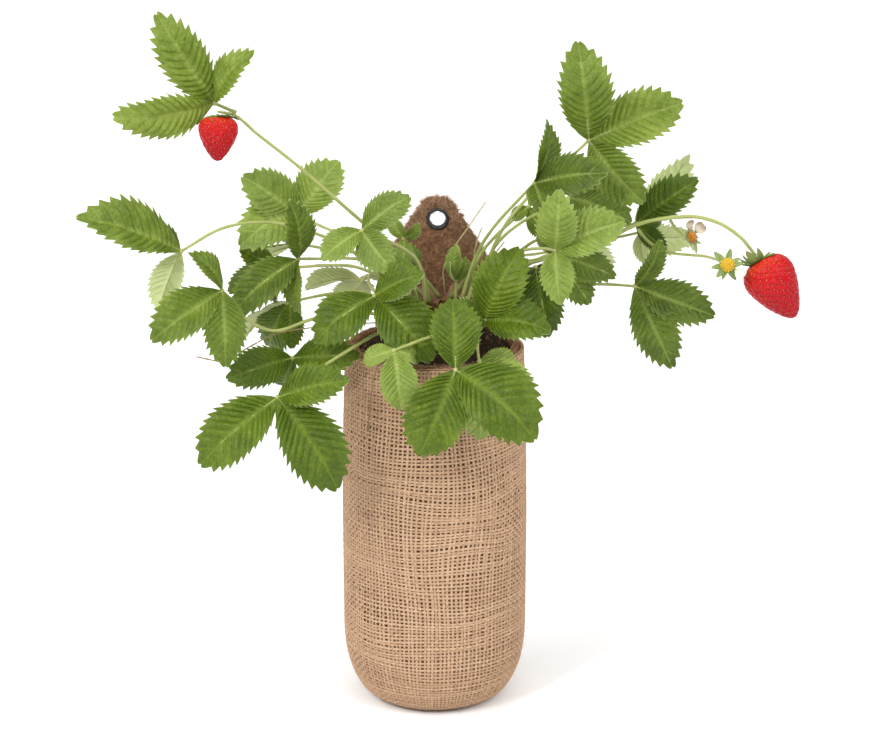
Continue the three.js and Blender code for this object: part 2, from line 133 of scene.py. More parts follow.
class Heap:
    """Collects several closed shells, to become one mesh."""

    def __init__(self):
        self.verts, self.faces, self.slots, self.values = [], [], [], {}
        self.count = 0

    def add(self, verts, faces, slot=0, **values):
        verts = np.asarray(verts, float).reshape(-1, 3)
        self.faces.extend([k + self.count for k in face] for face in faces)
        self.slots.append(np.broadcast_to(np.asarray(slot), (len(faces),)))
        for key, numbers in values.items():
            full = np.broadcast_to(np.asarray(numbers, float), (len(verts),))
            self.values.setdefault(key, []).append((self.count, full))
        self.verts.append(verts)
        self.count += len(verts)

    def build(self, name, materials):
        values = {}
        for key, parts in self.values.items():
            column = np.zeros(self.count)
            for start, numbers in parts:
                column[start:start + len(numbers)] = numbers
            values[key] = column
        return make(name, np.vstack(self.verts), self.faces, materials, np.concatenate(self.slots), values)


def dress(obj, node):
    """Puts a piece in place of a CAD node: the piece rides on the body and the node is hidden."""
    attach(obj, BODY)
    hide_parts(node)


def wear(heap, node, *materials):
    """Builds the heap as the piece that takes a CAD node's place."""
    dress(heap.build(node + "_fine", materials), node)


def rough(places, scale, size):
    """Smooth random offsets at these places."""
    bumps = [noise.noise(Vector(p) * scale) for p in places.reshape(-1, 3)]
    return size * np.array(bumps).reshape(places.shape[:-1])


def grid_faces(rows, columns, wrap=False):
    """Quads of a grid of vertices, row by row; wrap joins the last column to the first."""
    across = columns if wrap else columns - 1
    i, j = np.meshgrid(np.arange(rows - 1), np.arange(across), indexing="ij")
    k = (j + 1) % columns
    quads = np.stack([i * columns + j, i * columns + k, (i + 1) * columns + k, (i + 1) * columns + j], -1)
    return quads.reshape(-1, 4)


def capped(rows, columns):
    """Quads of a grid that is closed round, with one face over each end."""
    last = (rows - 1) * columns
    ends = [list(range(columns))[::-1], [last + k for k in range(columns)]]
    return grid_faces(rows, columns, wrap=True).tolist() + ends


def looped(rows, columns):
    """Quads of a grid that is closed both ways, like a ring."""
    end = (rows - 1) * columns
    joint = [[end + k, end + (k + 1) % columns, (k + 1) % columns, k] for k in range(columns)]
    return grid_faces(rows, columns, wrap=True).tolist() + joint


def thin_blade(face, drop):
    """A closed thin shell: the rows of `face` and, moved by `drop`, the same rows turned back."""
    loops = np.concatenate([face, (face - drop)[:, ::-1]], 1)
    return loops.reshape(-1, 3), capped(*loops.shape[:2])


def frames_along(points):
    """Two directions square to the path at each of its points, turning as little as possible."""
    tangents = directions(points)
    side = unit(np.cross(tangents[0], UP if abs(tangents[0][2]) < 0.9 else [1, 0, 0]))
    sides = []
    for tangent in tangents:
        side = unit(side - tangent * (side @ tangent))
        sides.append(side)
    sides = np.array(sides)
    return sides, np.cross(tangents, sides)


def tube_shell(points, radii, sides=10, flat=1.0):
    """A closed tube along the points: rings, with a fan at each end. flat squeezes its section."""
    points = np.asarray(points, float)
    radii = np.broadcast_to(np.asarray(radii, float), (len(points),))
    a, b = frames_along(points)
    turn = circle(sides)
    ring = np.cos(turn)[None, :, None] * a[:, None] + flat * np.sin(turn)[None, :, None] * b[:, None]
    verts = (points[:, None] + radii[:, None, None] * ring).reshape(-1, 3)
    faces = grid_faces(len(points), sides, wrap=True).tolist()
    first, last = len(verts), len(verts) + 1
    end = (len(points) - 1) * sides
    verts = np.vstack([verts, points[0], points[-1]])
    faces += [[first, (k + 1) % sides, k] for k in range(sides)]
    faces += [[last, end + k, end + (k + 1) % sides] for k in range(sides)]
    return verts, faces


def curve_through(points, steps):
    """A smooth path of `steps` points, evenly spaced, through the given ones."""
    points = np.asarray(points, float)
    ends = [2 * points[0] - points[1], 2 * points[-1] - points[-2]]
    full = np.vstack([ends[0], points, ends[1]])
    path = []
    for p, q, r, s in zip(full, full[1:], full[2:], full[3:]):
        t = np.linspace(0, 1, 12, endpoint=False)[:, None]
        path.append(q + 0.5 * t * (r - p + t * (2 * p - 5 * q + 4 * r - s + t * (3 * (q - r) + s - p))))
    return evenly(np.vstack(path + [points[-1:]]), steps)


def spike(start, end, radius, bend=(0, 0, 0)):
    """A fine three-sided hair from start to end, bowed sideways by `bend`."""
    start, end = np.asarray(start, float), np.asarray(end, float)
    path = [start, (start + end) / 2 + bend, end]
    return tube_shell(path, [radius, radius * 0.8, radius * 0.3], 3)


# --- what the CAD mesh says about each stalk and leaf -----------------------------------------

def welded(node):
    """The node's vertices, merged where they coincide, and each one's neighbours."""
    mesh = frame["nodes"][node].data
    places = np.array([v.co for v in mesh.vertices], float)
    keys = np.round(places / 2e-6).astype(np.int64)
    _, first, back = np.unique(keys, axis=0, return_index=True, return_inverse=True)
    back = back.reshape(-1)
    near = [set() for _ in first]
    for edge in mesh.edges:
        a, b = back[edge.vertices[0]], back[edge.vertices[1]]
        if a != b:
            near[a].add(b)
            near[b].add(a)
    return places[first], near


def rings_from(points, near, start, sides=5, spread=0.0026):
    """Centres of a tube's rings, walking from the end at vertex `start` for as long as rings are whole."""
    ring = {i for i in range(len(points)) if np.linalg.norm(points[i] - points[start]) < spread}
    seen, centres = set(ring), []
    while len(ring) == sides:
        centres.append(points[list(ring)].mean(0))
        ring = {k for i in ring for k in near[i]} - seen
        seen |= ring
    return centres


def knot_of(points):
    """Where the leaflets meet: the place with the most vertices round it."""
    gaps = np.linalg.norm(points[:, None] - points[None], axis=2)
    busiest = (gaps < 0.0022).sum(1).argmax()
    hub = points[gaps[busiest] < 0.0022].mean(0)
    return points[np.linalg.norm(points - hub, axis=1) < 0.002].mean(0)


def leaflet_tips(points, near, hub, root):
    """Middles of the blades' ends: six vertices close together, none with a neighbour farther out."""
    away = np.linalg.norm(points - hub, axis=1)
    outer = [i for i in range(len(points)) if all(away[k] <= away[i] for k in near[i])]
    tips = []
    for i in sorted(outer, key=lambda k: -away[k]):
        reach = 0.0032 + 0.028 * away[i]
        group = points[np.linalg.norm(points - points[i], axis=1) < reach]
        isolated = all(np.linalg.norm(points[i] - tip) > 0.006 for tip in tips)
        if len(group) >= 6 and away[i] > 0.01 and isolated and np.linalg.norm(points[i] - root) > 0.004:
            tips.append(group.mean(0))
    return tips


def blade_margins(points, hub, tip):
    """Both edges of a blade at its last wide station, or None."""
    span = tip - hub
    length = np.linalg.norm(span)
    along = span / length
    station = 0.84
    share = (points - hub) @ along / length
    off = points - (hub + np.outer(share, span))
    far = np.linalg.norm(off, axis=1)
    on = abs(share - station) * length < 0.0007 + 0.012 * length
    on = on & (far > 0.12 * length) & (far < 0.31 * length)
    if on.sum() < 2:
        return None
    off = off[on]
    one = off[off @ off[0] > 0].mean(0)
    rest = off[off @ off[0] <= 0]
    return (one, rest.mean(0)) if len(rest) else None


def leaf_plan(node):
    """The node's stalk as a path, its joint, and each leaflet's tip, upper side and half width."""
    points, near = welded(node)
    crown = middle("crown")
    start = int(np.linalg.norm(points - crown, axis=1).argmin())
    hub = knot_of(points)
    rings = rings_from(points, near, start)
    kept = [p for p in rings if np.linalg.norm(p - hub) > 0.0035]
    path = (kept or [points[start]]) + [hub]
    leaflets = []
    for tip in leaflet_tips(points, near, hub, points[start]):
        edges = blade_margins(points, hub, tip)
        if edges is None:
            continue
        along = unit(tip - hub)
        up = edges[0] + edges[1]
        up = unit(up - along * (up @ along))
        half = np.linalg.norm(edges[0] - edges[1]) / 2 / 0.74
        leaflets.append({"tip": tip, "up": up, "half": half})
    return {"path": np.array(path), "hub": hub, "leaflets": leaflets}


def stalk_path(node):
    """The middle line of a plain stalk's node."""
    points, near = welded(node)
    start = int(np.linalg.norm(points - points.mean(0), axis=1).argmax())
    return np.array(rings_from(points, near, start, spread=0.0031))


# --- materials --------------------------------------------------------------------------------

class Shade:
    """A node material: the shader's plain numbers are set on it, and colours come from patterns."""

    def __init__(self, name, roughness=0.6, specular=0.5, **inputs):
        self.material = bpy.data.materials.new(name)
        self.material.use_nodes = True
        self.tree = self.material.node_tree
        self.shader = self.tree.nodes["Principled BSDF"]
        self.shader.inputs["Roughness"].default_value = roughness
        self.shader.inputs["Specular IOR Level"].default_value = specular
        for key, value in inputs.items():
            self.shader.inputs[key.replace("_", " ")].default_value = value
        self.place = self.tree.nodes.new("ShaderNodeTexCoord").outputs["Object"]

    def node(self, kind, **inputs):
        node = self.tree.nodes.new(kind)
        for key, value in inputs.items():
            self.connect(value, node.inputs[key.replace("_", " ")])
        return node

    def connect(self, value, socket):
        if isinstance(value, bpy.types.NodeSocket):
            self.tree.links.new(value, socket)
        else:
            socket.default_value = value

    def noise(self, scale, detail=4.0, roughness=0.6):
        inputs = {"Vector": self.place, "Scale": scale, "Detail": detail, "Roughness": roughness}
        return self.node("ShaderNodeTexNoise", **inputs).outputs[0]

    def value(self, name):
        node = self.tree.nodes.new("ShaderNodeAttribute")
        node.attribute_name = name
        return node.outputs["Fac"]

    def math(self, operation, a, b):
        node = self.tree.nodes.new("ShaderNodeMath")
        node.operation = operation
        self.connect(a, node.inputs[0])
        self.connect(b, node.inputs[1])
        return node.outputs[0]

    def times(self, a, b):
        return self.math("MULTIPLY", a, b)

    def mottled(self, scale, share, detail=4.0, roughness=0.6, own=1.0):
        """Each part's own tone, with a share of a fine pattern added."""
        tone = self.times(self.value("tone"), own)
        return self.math("ADD", tone, self.times(self.noise(scale, detail, roughness), share))

    def ramp(self, factor, *stops):
        node = self.tree.nodes.new("ShaderNodeValToRGB")
        self.tree.links.new(factor, node.inputs[0])
        marks = node.color_ramp.elements
        for _ in stops[2:]:
            marks.new(0.5)
        for mark, (place, colour) in zip(marks, stops):
            mark.position = place
            mark.color = (*colour, 1)
        return node.outputs[0]

    def blend(self, factor, a, b):
        node = self.tree.nodes.new("ShaderNodeMix")
        node.data_type = "RGBA"
        self.connect(factor, node.inputs[0])
        self.connect(a, node.inputs[6])
        self.connect(b, node.inputs[7])
        return node.outputs[2]

    def colour(self, output):
        self.tree.links.new(output, self.shader.inputs["Base Color"])

    def bump(self, height, distance, strength=0.5):
        node = self.node("ShaderNodeBump", Height=height, Strength=strength, Distance=distance)
        self.tree.links.new(node.outputs[0], self.shader.inputs["Normal"])


def mottled_material(name, roughness, specular, pattern, stops, bump):
    """A dull material: a pattern of tones runs through the stops, with a fine bump over it."""
    shade = Shade(name, roughness=roughness, specular=specular)
    shade.colour(shade.ramp(shade.mottled(**pattern), *stops))
    scale, detail, distance, strength = bump
    shade.bump(shade.noise(scale, detail), distance, strength)
    return shade.material


def leaf_material(name, deep, plain, bright):
    """Green that shifts from leaflet to leaflet, wrinkled between its veins and paler along them."""
    shade = Shade(name, roughness=0.45, specular=0.24, Subsurface_Weight=0.3, Subsurface_Scale=0.0012)
    shade.shader.inputs["Subsurface Radius"].default_value = (0.8, 1.0, 0.25)
    cells = shade.node("ShaderNodeTexVoronoi", Vector=shade.place, Scale=620.0)
    cells.feature = "SMOOTH_F1"
    wrinkle = cells.outputs["Distance"]
    patch = shade.math("SUBTRACT", shade.mottled(70, 0.62, 5.0), shade.times(wrinkle, 0.24))
    body = shade.ramp(patch, (0.12, deep), (0.45, plain), (0.85, bright))
    veins = shade.times(shade.value("vein"), 0.42)
    veined = shade.blend(veins, body, (*(np.array(bright) * 1.15), 1))
    edge = shade.times(shade.value("edge"), 0.25)
    shade.colour(shade.blend(edge, veined, (*bright, 1)))
    shade.bump(wrinkle, 0.0009, 0.55)
    return shade.material


def underside_material(name, dim, pale):
    """The leaves' dull pale lower side, a little paler still along the veins: pale in its own colour, and
    paler still as painted light for light that shines through the leaf.
    """
    shade = Shade(name, roughness=0.75, specular=0.15, Subsurface_Weight=0.3, Subsurface_Scale=0.0012)
    shade.shader.inputs["Subsurface Radius"].default_value = (0.9, 1.0, 0.4)
    body = shade.ramp(shade.mottled(80, 0.4), (0.2, dim), (0.8, pale))
    shade.colour(shade.blend(shade.times(shade.value("vein"), 0.5), body, (*pale, 1)))
    shade.bump(shade.noise(1100, 2.0), 0.0002, 0.4)
    return shade.material


def stalk_material(name, *stops):
    """Pale stalk, mottled and flushed in places."""
    pattern = {"scale": 120, "share": 0.5}
    return mottled_material(name, 0.55, 0.35, pattern, stops, (700, 2.0, 0.0002, 0.4))


LEAF_GREENS = {
    "leaf_light": ((0.075, 0.115, 0.013), (0.175, 0.240, 0.040), (0.335, 0.40, 0.10)),
    "leaf_mid": ((0.040, 0.068, 0.003), (0.104, 0.152, 0.013), (0.25, 0.31, 0.052)),
    "leaf_dark": ((0.022, 0.044, 0.001), (0.058, 0.098, 0.002), (0.165, 0.225, 0.016)),
}
LEAF_TOPS = {name: leaf_material(name, *greens) for name, greens in LEAF_GREENS.items()}
# the underside's pale greens are partly its own colour and partly painted light for light shining through the
# leaf
UNDERSIDE = underside_material("leaf_underside", (0.40, 0.46, 0.22), (0.66, 0.70, 0.46))
STALK_TONES = ((0.15, (0.17, 0.20, 0.045)), (0.5, (0.31, 0.35, 0.10)), (0.85, (0.42, 0.40, 0.17)))
STALK = stalk_material("stalk", *STALK_TONES)


# --- leaves -----------------------------------------------------------------------------------

TEETH = 10  # along each side of a leaflet
TEETH_FROM = 0.15  # share of the leaflet before its first tooth
TOOTH_TIP = 0.74  # where a tooth's tip is within its stretch, as a share
TOOTH_STEPS = (0.0, 0.18, 0.36, 0.52, 0.65, TOOTH_TIP, 0.82, 0.91)
TOOTH_REACH = 0.064  # how far a tooth sticks out, as a share of the leaflet's length
HALF_COLUMNS = 10  # of vertices, from the midrib to the margin
BLADE_THICKNESS = 0.00034
ARCH = 0.08  # bow of a leaflet, as in the CAD blade
FOLD = 0.2  # how steeply its halves rise from the midrib
HAIR = 0.0011
DROOP = 0.16  # how far its point hangs, as a share of its length


def outline(x):
    """Half width of a leaflet at x, as a share of the widest: a wedge that broadens, then a blunt point."""
    x = np.clip(x, 0, 1)
    return x ** 0.8 * (1 - x) ** 0.68 / 0.368


def margin_steps():
    """Places along the margin, the tooth phase at each (or -1 before the teeth), and its tooth."""
    places = list(np.linspace(0.012, TEETH_FROM, 8, endpoint=False))
    phases = [-1.0] * len(places)
    numbers = [0] * len(places)
    step = (1 - TEETH_FROM) / (TEETH + TOOTH_TIP)
    for tooth in range(TEETH + 1):
        for phase in TOOTH_STEPS:
            place = TEETH_FROM + (tooth + phase) * step
            if place < 0.999:
                places.append(place)
                phases.append(phase)
                numbers.append(tooth)
    places.append(0.9995)
    phases.append(TOOTH_TIP)
    numbers.append(TEETH)
    return np.array(places), np.array(phases), np.array(numbers)


def tooth_numbers(places, phases):
    """At each place of the margin: how far its tooth is out, how near a vein is, and the swell between."""
    before = phases < 0
    rising = (np.maximum(phases, 0) / TOOTH_TIP) ** 1.15
    falling = (1 - phases) / (1 - TOOTH_TIP)
    tooth = np.where(before, 0.35, np.where(phases < TOOTH_TIP, rising, falling))
    tooth = tooth * smooth(TEETH_FROM - 0.05, TEETH_FROM + 0.12, places)
    near_vein = np.where(before, 0, np.exp(-((phases - TOOTH_TIP) / 0.06) ** 2))
    swell = np.where(before, 0.5, np.sin(math.pi * ((phases - TOOTH_TIP) % 1.0)) ** 0.8)
    return tooth, near_vein, swell


def half_leaflet(side, ratio, curl, waves, random):
    """One half of a leaflet of length 1: x, y, z, the way to the margin and the veins, place by column."""
    places, phases, numbers = margin_steps()
    tooth, near_vein, swell = tooth_numbers(places, phases)
    t = np.linspace(0, 1, HALF_COLUMNS)[None] ** 0.85
    wide = outline(places)
    start = np.clip(places - 1.05 * ratio * wide * places ** 0.35, 0, 1)
    reach = ratio * wide * (1 + side * 0.06 * waves[0])
    jitter = random.uniform(0.75, 1.3, TEETH + 1)[numbers]
    push = TOOTH_REACH * (tooth - 0.42) * jitter * (0.6 + 0.4 * wide)
    dx = places - start
    run = np.maximum(np.hypot(dx, reach), 1e-4)
    stretch = 1 + push[:, None] / run[:, None] * smooth(0.45, 1.0, t)
    sweep = 0.07 * np.sin(math.pi * t) * dx[:, None]
    x = start[:, None] + dx[:, None] * t * stretch - sweep
    y = reach[:, None] * t * stretch
    lie = np.clip(x, 0, 1.05)
    rise = 4 * ARCH * curl["arch"] * lie * (1 - lie)
    fold = FOLD * curl["fold"] * (np.hypot(y, 0.03) - 0.03)
    quilt = 0.026 * swell[:, None] * np.sin(math.pi * t ** 0.8) ** 0.9 * smooth(0, 0.2, reach)[:, None]
    groove = -0.006 * near_vein[:, None] * np.sin(math.pi * np.clip(t * 0.9 + 0.05, 0, 1))
    ripple = 0.022 * (t ** 2) * np.sin(9 * places + 3 * waves[1] + side * 1.7)[:, None]
    droop = -curl["droop"] * smooth(0.55, 1.05, lie) * DROOP
    roll = 0.10 * curl["roll"] * (y / max(ratio, 1e-6)) ** 2 * ratio
    z = rise + fold + quilt + groove + ripple + (droop - roll)
    bend = 0.03 * waves[2] * np.sin(math.pi * lie)
    rim, vein = np.broadcast_arrays(t, near_vein[:, None])
    return x, side * y + bend, z, rim, vein


def leaflet(hub, tip, up, half, random, curl):
    """One toothed leaflet as a closed shell: its vertices, faces, each face's slot, and its numbers."""
    length = np.linalg.norm(tip - hub)
    along = (tip - hub) / length
    across = np.cross(up, along)
    waves = random.uniform(-1, 1, 6)
    halves = [half_leaflet(side, half / length, curl, waves, random) for side in (-1, 1)]
    x, y, z, rim, vein = [np.hstack([left[:, ::-1], right[:, 1:]]) for left, right in zip(*halves)]
    midrib = np.exp(-(rim / 0.05) ** 2)
    vein = np.maximum(vein * np.clip(1.2 - rim, 0, 0.75), midrib)
    grain = np.stack([x, y, 0 * x], -1) * length + hub * 3
    z = z + (rough(grain, 110, 0.02) + rough(grain, 260, 0.008)) * smooth(0.02, 0.3, x)
    under = z - BLADE_THICKNESS / length - 0.004 * vein * (1 - rim ** 4)
    layers = ((x, x), (y, y), (z, under), (vein, vein), (rim, rim))
    x, y, z, vein, rim = [np.hstack([top, low[:, ::-1]]).reshape(-1) for top, low in layers]
    verts = hub + length * (x[:, None] * along + y[:, None] * across + z[:, None] * up)
    columns = 2 * HALF_COLUMNS - 1
    rows = len(x) // (2 * columns)
    faces = grid_faces(rows, 2 * columns, wrap=True)
    slots = (np.arange(len(faces)) % (2 * columns) >= columns).astype(int)
    ends = []
    for base, way in ((0, -1), ((rows - 1) * 2 * columns, 1)):
        for k in range(columns - 1):
            quad = [base + k, base + k + 1, base + 2 * columns - 2 - k, base + 2 * columns - 1 - k]
            ends.append(quad[::way])
    slots = np.concatenate([slots, np.ones(len(ends), int)])
    return verts, faces.tolist() + ends, slots, {"vein": vein, "edge": smooth(0.86, 1.0, rim)}


def rib_under(hub, spec, curl):
    """The midrib's path, just under the leaflet: it bows and droops as the leaflet does."""
    span = spec["tip"] - hub
    share = np.linspace(0, 0.94, 14)
    bow = 4 * ARCH * curl["arch"] * share * (1 - share) - curl["droop"] * DROOP * smooth(0.55, 1.05, share)
    rib = hub + np.outer(share, span) + np.outer(bow, spec["up"]) * np.linalg.norm(span)
    return tube_shell(rib - spec["up"] * 0.0006, mix(0.0009, 0.0002, share ** 0.6), 6)


def hairs(heap, path, radius, count, random, **where):
    """Fine hairs standing out from a stalk."""
    sides, lifts = frames_along(path)
    for _ in range(count):
        k = random.integers(1, len(path) - 1)
        turn = random.uniform(0, 2 * math.pi)
        out = spoke(turn, sides[k], lifts[k])
        start = path[k] + out * radius * 0.8
        end = start + out * HAIR * random.uniform(0.5, 1.2)
        end = end + (path[k + 1] - path[k]) * random.uniform(-0.3, 0.3)
        verts, faces = spike(start, end, 0.00006)
        heap.add(verts, faces, **where)


def leaf(node):
    """A compound leaf: hairy stalk, joint with its short stalklets, and toothed leaflets."""
    plan = leaf_plan(node)
    random = np.random.default_rng(seed_of(node))
    hub, path = plan["hub"], plan["path"]
    steps = max(14, int(np.linalg.norm(np.diff(path, axis=0), axis=1).sum() / 0.0035))
    stalk = curve_through(path, steps)
    taper = mix(0.00125, 0.0009, np.linspace(0, 1, steps))
    tone = random.uniform(0.0, 0.35)
    heap = Heap()
    verts, faces = tube_shell(stalk, taper * (1 + 0.06 * np.sin(np.arange(steps) * 1.3)), 9)
    heap.add(verts, faces, 2, tone=tone + 0.1)
    hairs(heap, stalk, 0.001, int(steps * 5), random, slot=2, tone=0.6)
    knot = hub + np.outer(np.linspace(-0.0016, 0.0016, 5), unit(stalk[-1] - stalk[-3]))
    verts, faces = tube_shell(knot, [0.0006, 0.0014, 0.0016, 0.0014, 0.0006], 9)
    heap.add(verts, faces, 2, tone=tone + 0.2)
    mood = random.uniform(-0.02, 0.32)
    for spec in plan["leaflets"]:
        curl = {
            "arch": random.uniform(0.6, 1.3),
            "fold": random.uniform(1.1, 2.4),
            "droop": random.uniform(0.0, 0.9),
            "roll": random.uniform(0.0, 1.6),
        }
        verts, faces, slots, numbers = leaflet(hub, spec["tip"], spec["up"], spec["half"], random, curl)
        heap.add(verts, faces, slots, tone=mood + random.uniform(-0.08, 0.12), **numbers)
        verts, faces = rib_under(hub, spec, curl)
        heap.add(verts, faces, 2, tone=tone + 0.15)
    wear(heap, node, LEAF_TOPS[SLOT_OF[node]], UNDERSIDE, STALK)


def nodes_named(start):
    return [node for node in sorted(frame["nodes"]) if node.startswith(start)]


def leaves():
    for node in nodes_named("leaf_"):
        leaf(node)


# --- shared parts for the bag, liner and soil -------------------------------------------------

def hit(tree, start, direction):
    return tree.ray_cast(Vector(start), Vector(direction))[0]


def surface_of(node):
    mesh = frame["nodes"][node].data
    return BVHTree.FromPolygons([v.co for v in mesh.vertices], [p.vertices for p in mesh.polygons])


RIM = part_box("jute_bag")[1].z
BAG_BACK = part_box("jute_bag")[1].y


def bag_section():
    """The bag's half section from the base's edge to the rim, as radius and height."""
    tree = surface_of("jute_bag")
    heights = np.linspace(0.0002, RIM - 0.0004, 300)
    radii = [-hit(tree, (1e-5, -1, z), (0, 1, 0)).y for z in heights]
    return softened(evenly(np.stack([radii, heights], 1), 300), 60)


BAG_SECTION = bag_section()


def pressed(radius, turn, depth):
    """The radius at an angle once the back is flattened, for a layer `depth` inside the bag."""
    sharpness = 24
    height = np.sin(turn)
    limit = (BAG_BACK - depth) / np.maximum(height, 1e-3)
    flat = (radius ** -sharpness + limit ** -sharpness) ** (-1 / sharpness)
    return np.where(height > 1e-3, flat, radius)


def round_the_bag(radius, turn, height, depth):
    r = pressed(radius, turn, depth)
    return np.stack([r * np.cos(turn), r * np.sin(turn), np.broadcast_to(height, r.shape)], -1)


# --- jute bag ---------------------------------------------------------------------------------

WARPS = 134
WEFT_PITCH = 0.00232
CLOTH_DEPTH = 0.00065  # from the bag's outer face to the middle of its cloth
CRIMP = 0.00036  # how far a thread weaves out and in
FOLD_DEPTH = 0.0011  # between the cloth and its turned-in hem
HEM = 0.009
BASE_LIFT, BASE_CRIMP = 0.00085, 0.0003  # of the base's threads above the floor
THREAD_SIDES = 5
WARP_HALF, WARP_RISE = 0.00092, 0.00046  # half a thread's width, and half its thickness
WEFT_HALF, WEFT_RISE = 0.0008, 0.00044
WEFT_WAVE = 0.0042  # how far the wefts wander up and down
JUTE_TONES = ((0.30, 0.178, 0.104), (0.49, 0.315, 0.198), (0.66, 0.468, 0.32))


def jute_material(name, dark, plain, light):
    """Dry yarn: every thread its own shade, mottled along it, with fine fibre bumps."""
    pattern = {"scale": 260, "share": 0.55, "detail": 5.0, "roughness": 0.7}
    stops = ((0.12, dark), (0.5, plain), (0.88, light))
    return mottled_material(name, 0.92, 0.12, pattern, stops, (2600, 4.0, 0.00035, 0.9))


def cloth_path():
    """The cloth's half section, base edge to hem: radius, height, depth inside the bag, outward normal."""
    slope = directions(BAG_SECTION)
    outward = np.stack([slope[:, 1], -slope[:, 0]], 1)
    side = BAG_SECTION - outward * CLOTH_DEPTH
    turn = np.linspace(0, math.pi, 8)[1:]
    fold = np.stack([np.cos(turn), np.sin(turn)], 1) * FOLD_DEPTH / 2
    top = side[-1] - [FOLD_DEPTH / 2, 0] + fold
    hem = top[-1] - np.outer(np.linspace(0, 1, 8)[1:], [0, HEM])
    path = np.vstack([side, top, hem])
    folding = CLOTH_DEPTH + (1 - np.cos(turn)) * FOLD_DEPTH / 2
    hem_depth = np.full(len(hem), CLOTH_DEPTH + FOLD_DEPTH)
    depth = np.concatenate([np.full(len(side), CLOTH_DEPTH), folding, hem_depth])
    run = np.linalg.norm(np.diff(path, axis=0), axis=1).sum()
    full = evenly(np.column_stack([path, depth]), int(run / WEFT_PITCH))
    along = directions(full[:, :2])
    return full[:, 0], full[:, 1], full[:, 2], np.stack([along[:, 1], -along[:, 0]], 1)


def threads(centres, wide, thick, widths, heights, closed):
    """Vertices and faces of many threads at once: centres is thread by point, wide and thick their axes."""
    turn = circle(THREAD_SIDES)[None, None, :, None] + 0.3
    across = (wide * widths[..., None])[:, :, None]
    upright = (thick * heights[..., None])[:, :, None]
    verts = centres[:, :, None] + (np.cos(turn) * across + np.sin(turn) * upright)
    count, length = centres.shape[:2]
    size = length * THREAD_SIDES
    one = grid_faces(length + closed, THREAD_SIDES, wrap=True) % size
    faces = (one[None] + np.arange(count)[:, None, None] * size).reshape(-1, 4).tolist()
    if not closed:
        for k in range(count):
            faces.append([k * size + i for i in range(THREAD_SIDES)][::-1])
            faces.append([(k + 1) * size - THREAD_SIDES + i for i in range(THREAD_SIDES)])
    return verts.reshape(-1, 3), faces


def drift(random, count, length, scale, size):
    """Slow random wandering for each of `count` threads over `length` points."""
    knots = random.normal(0, size, (count, int(length / scale) + 3))
    places = np.linspace(0, knots.shape[1] - 1.001, length)
    whole = places.astype(int)
    part = smooth(0, 1, places - whole)
    return knots[:, whole] * (1 - part) + knots[:, whole + 1] * part


def waving(turn, height, around, climb, start=0):
    """A slow wave over the cloth, for each angle and height."""
    spots = [[(start + around * math.cos(a), around * math.sin(a), z * climb) for z in height] for a in turn]
    return np.array([[noise.noise(Vector(spot)) for spot in row] for row in spots])


def jute_bag():
    """The bag's two sets of threads, woven one over one, its woven base, and loose fibres."""
    random = np.random.default_rng(11)
    radius, height, depth, normal = cloth_path()
    rows = len(radius)
    turn = circle(WARPS)
    pitch = 2 * math.pi / WARPS
    over = np.where((np.arange(WARPS)[:, None] + np.arange(rows)[None]) % 2, 1.0, -1.0)

    def place(turns, lift, shift):
        """Points of the cloth at these angles, lifted along its normal and shifted up along it."""
        r = radius[None] + normal[None, :, 0] * lift
        z = height[None] + normal[None, :, 1] * lift + shift * normal[None, :, 0]
        return round_the_bag(r, turns, z, depth[None] - lift)

    sway = drift(random, WARPS, rows, 12, 0.11) * pitch
    lean = 0.9 * pitch * waving(turn, height, 1, 14, 9)
    turns = turn[:, None] + sway + 2.2 * lean
    warp_at = place(turns, over * CRIMP, 0)
    out = np.stack([np.cos(turns), np.sin(turns), 0 * turns], -1) * normal[None, :, :1]
    out[..., 2] = normal[None, :, 1]
    round_way = np.stack([-np.sin(turns), np.cos(turns), 0 * turns], -1)
    fat = 1 + drift(random, WARPS, rows, 6, 0.09) + random.normal(0, 0.04, (WARPS, 1))
    squeeze = np.clip(radius / radius.max(), 0.5, 1)[None]
    warps = threads(warp_at, round_way, out, WARP_HALF * fat * squeeze, WARP_RISE * fat, False)

    shift = drift(random, rows, WARPS, 14, 0.10).T * WEFT_PITCH
    shift[-1] = (shift[0] + shift[-2]) / 2
    on_side = smooth(0.012, 0.05, height) * smooth(RIM, RIM - 0.03, height) * (depth < CLOTH_DEPTH * 1.01)
    shift = shift + WEFT_WAVE * waving(turn, height, 1.3, 26) * on_side[None]
    weft_at = np.swapaxes(place(turns, -over * CRIMP, shift), 0, 1)
    spokes = np.stack([np.cos(turn), np.sin(turn), 0 * turn], -1)[None]
    up_way = -normal[:, 1][:, None, None] * spokes + UP * normal[:, 0][:, None, None]
    fat = 1 + drift(random, rows, WARPS, 6, 0.10) + random.normal(0, 0.05, (rows, 1))
    wefts = threads(weft_at, up_way, np.swapaxes(out, 0, 1), WEFT_HALF * fat, WEFT_RISE * fat, True)

    material = jute_material("jute", *JUTE_TONES)
    for name, (verts, faces), count in (("jute_warp", warps, WARPS), ("jute_weft", wefts, rows)):
        heap = Heap()
        heap.add(verts, faces, tone=np.repeat(random.uniform(0.13, 0.33, count), len(verts) // count))
        dress(heap.build(name, [material]), "jute_bag")
    dress(base_cloth(random, radius[0], material), "jute_bag")
    dress(jute_fuzz(random, turns, place, material), "jute_bag")


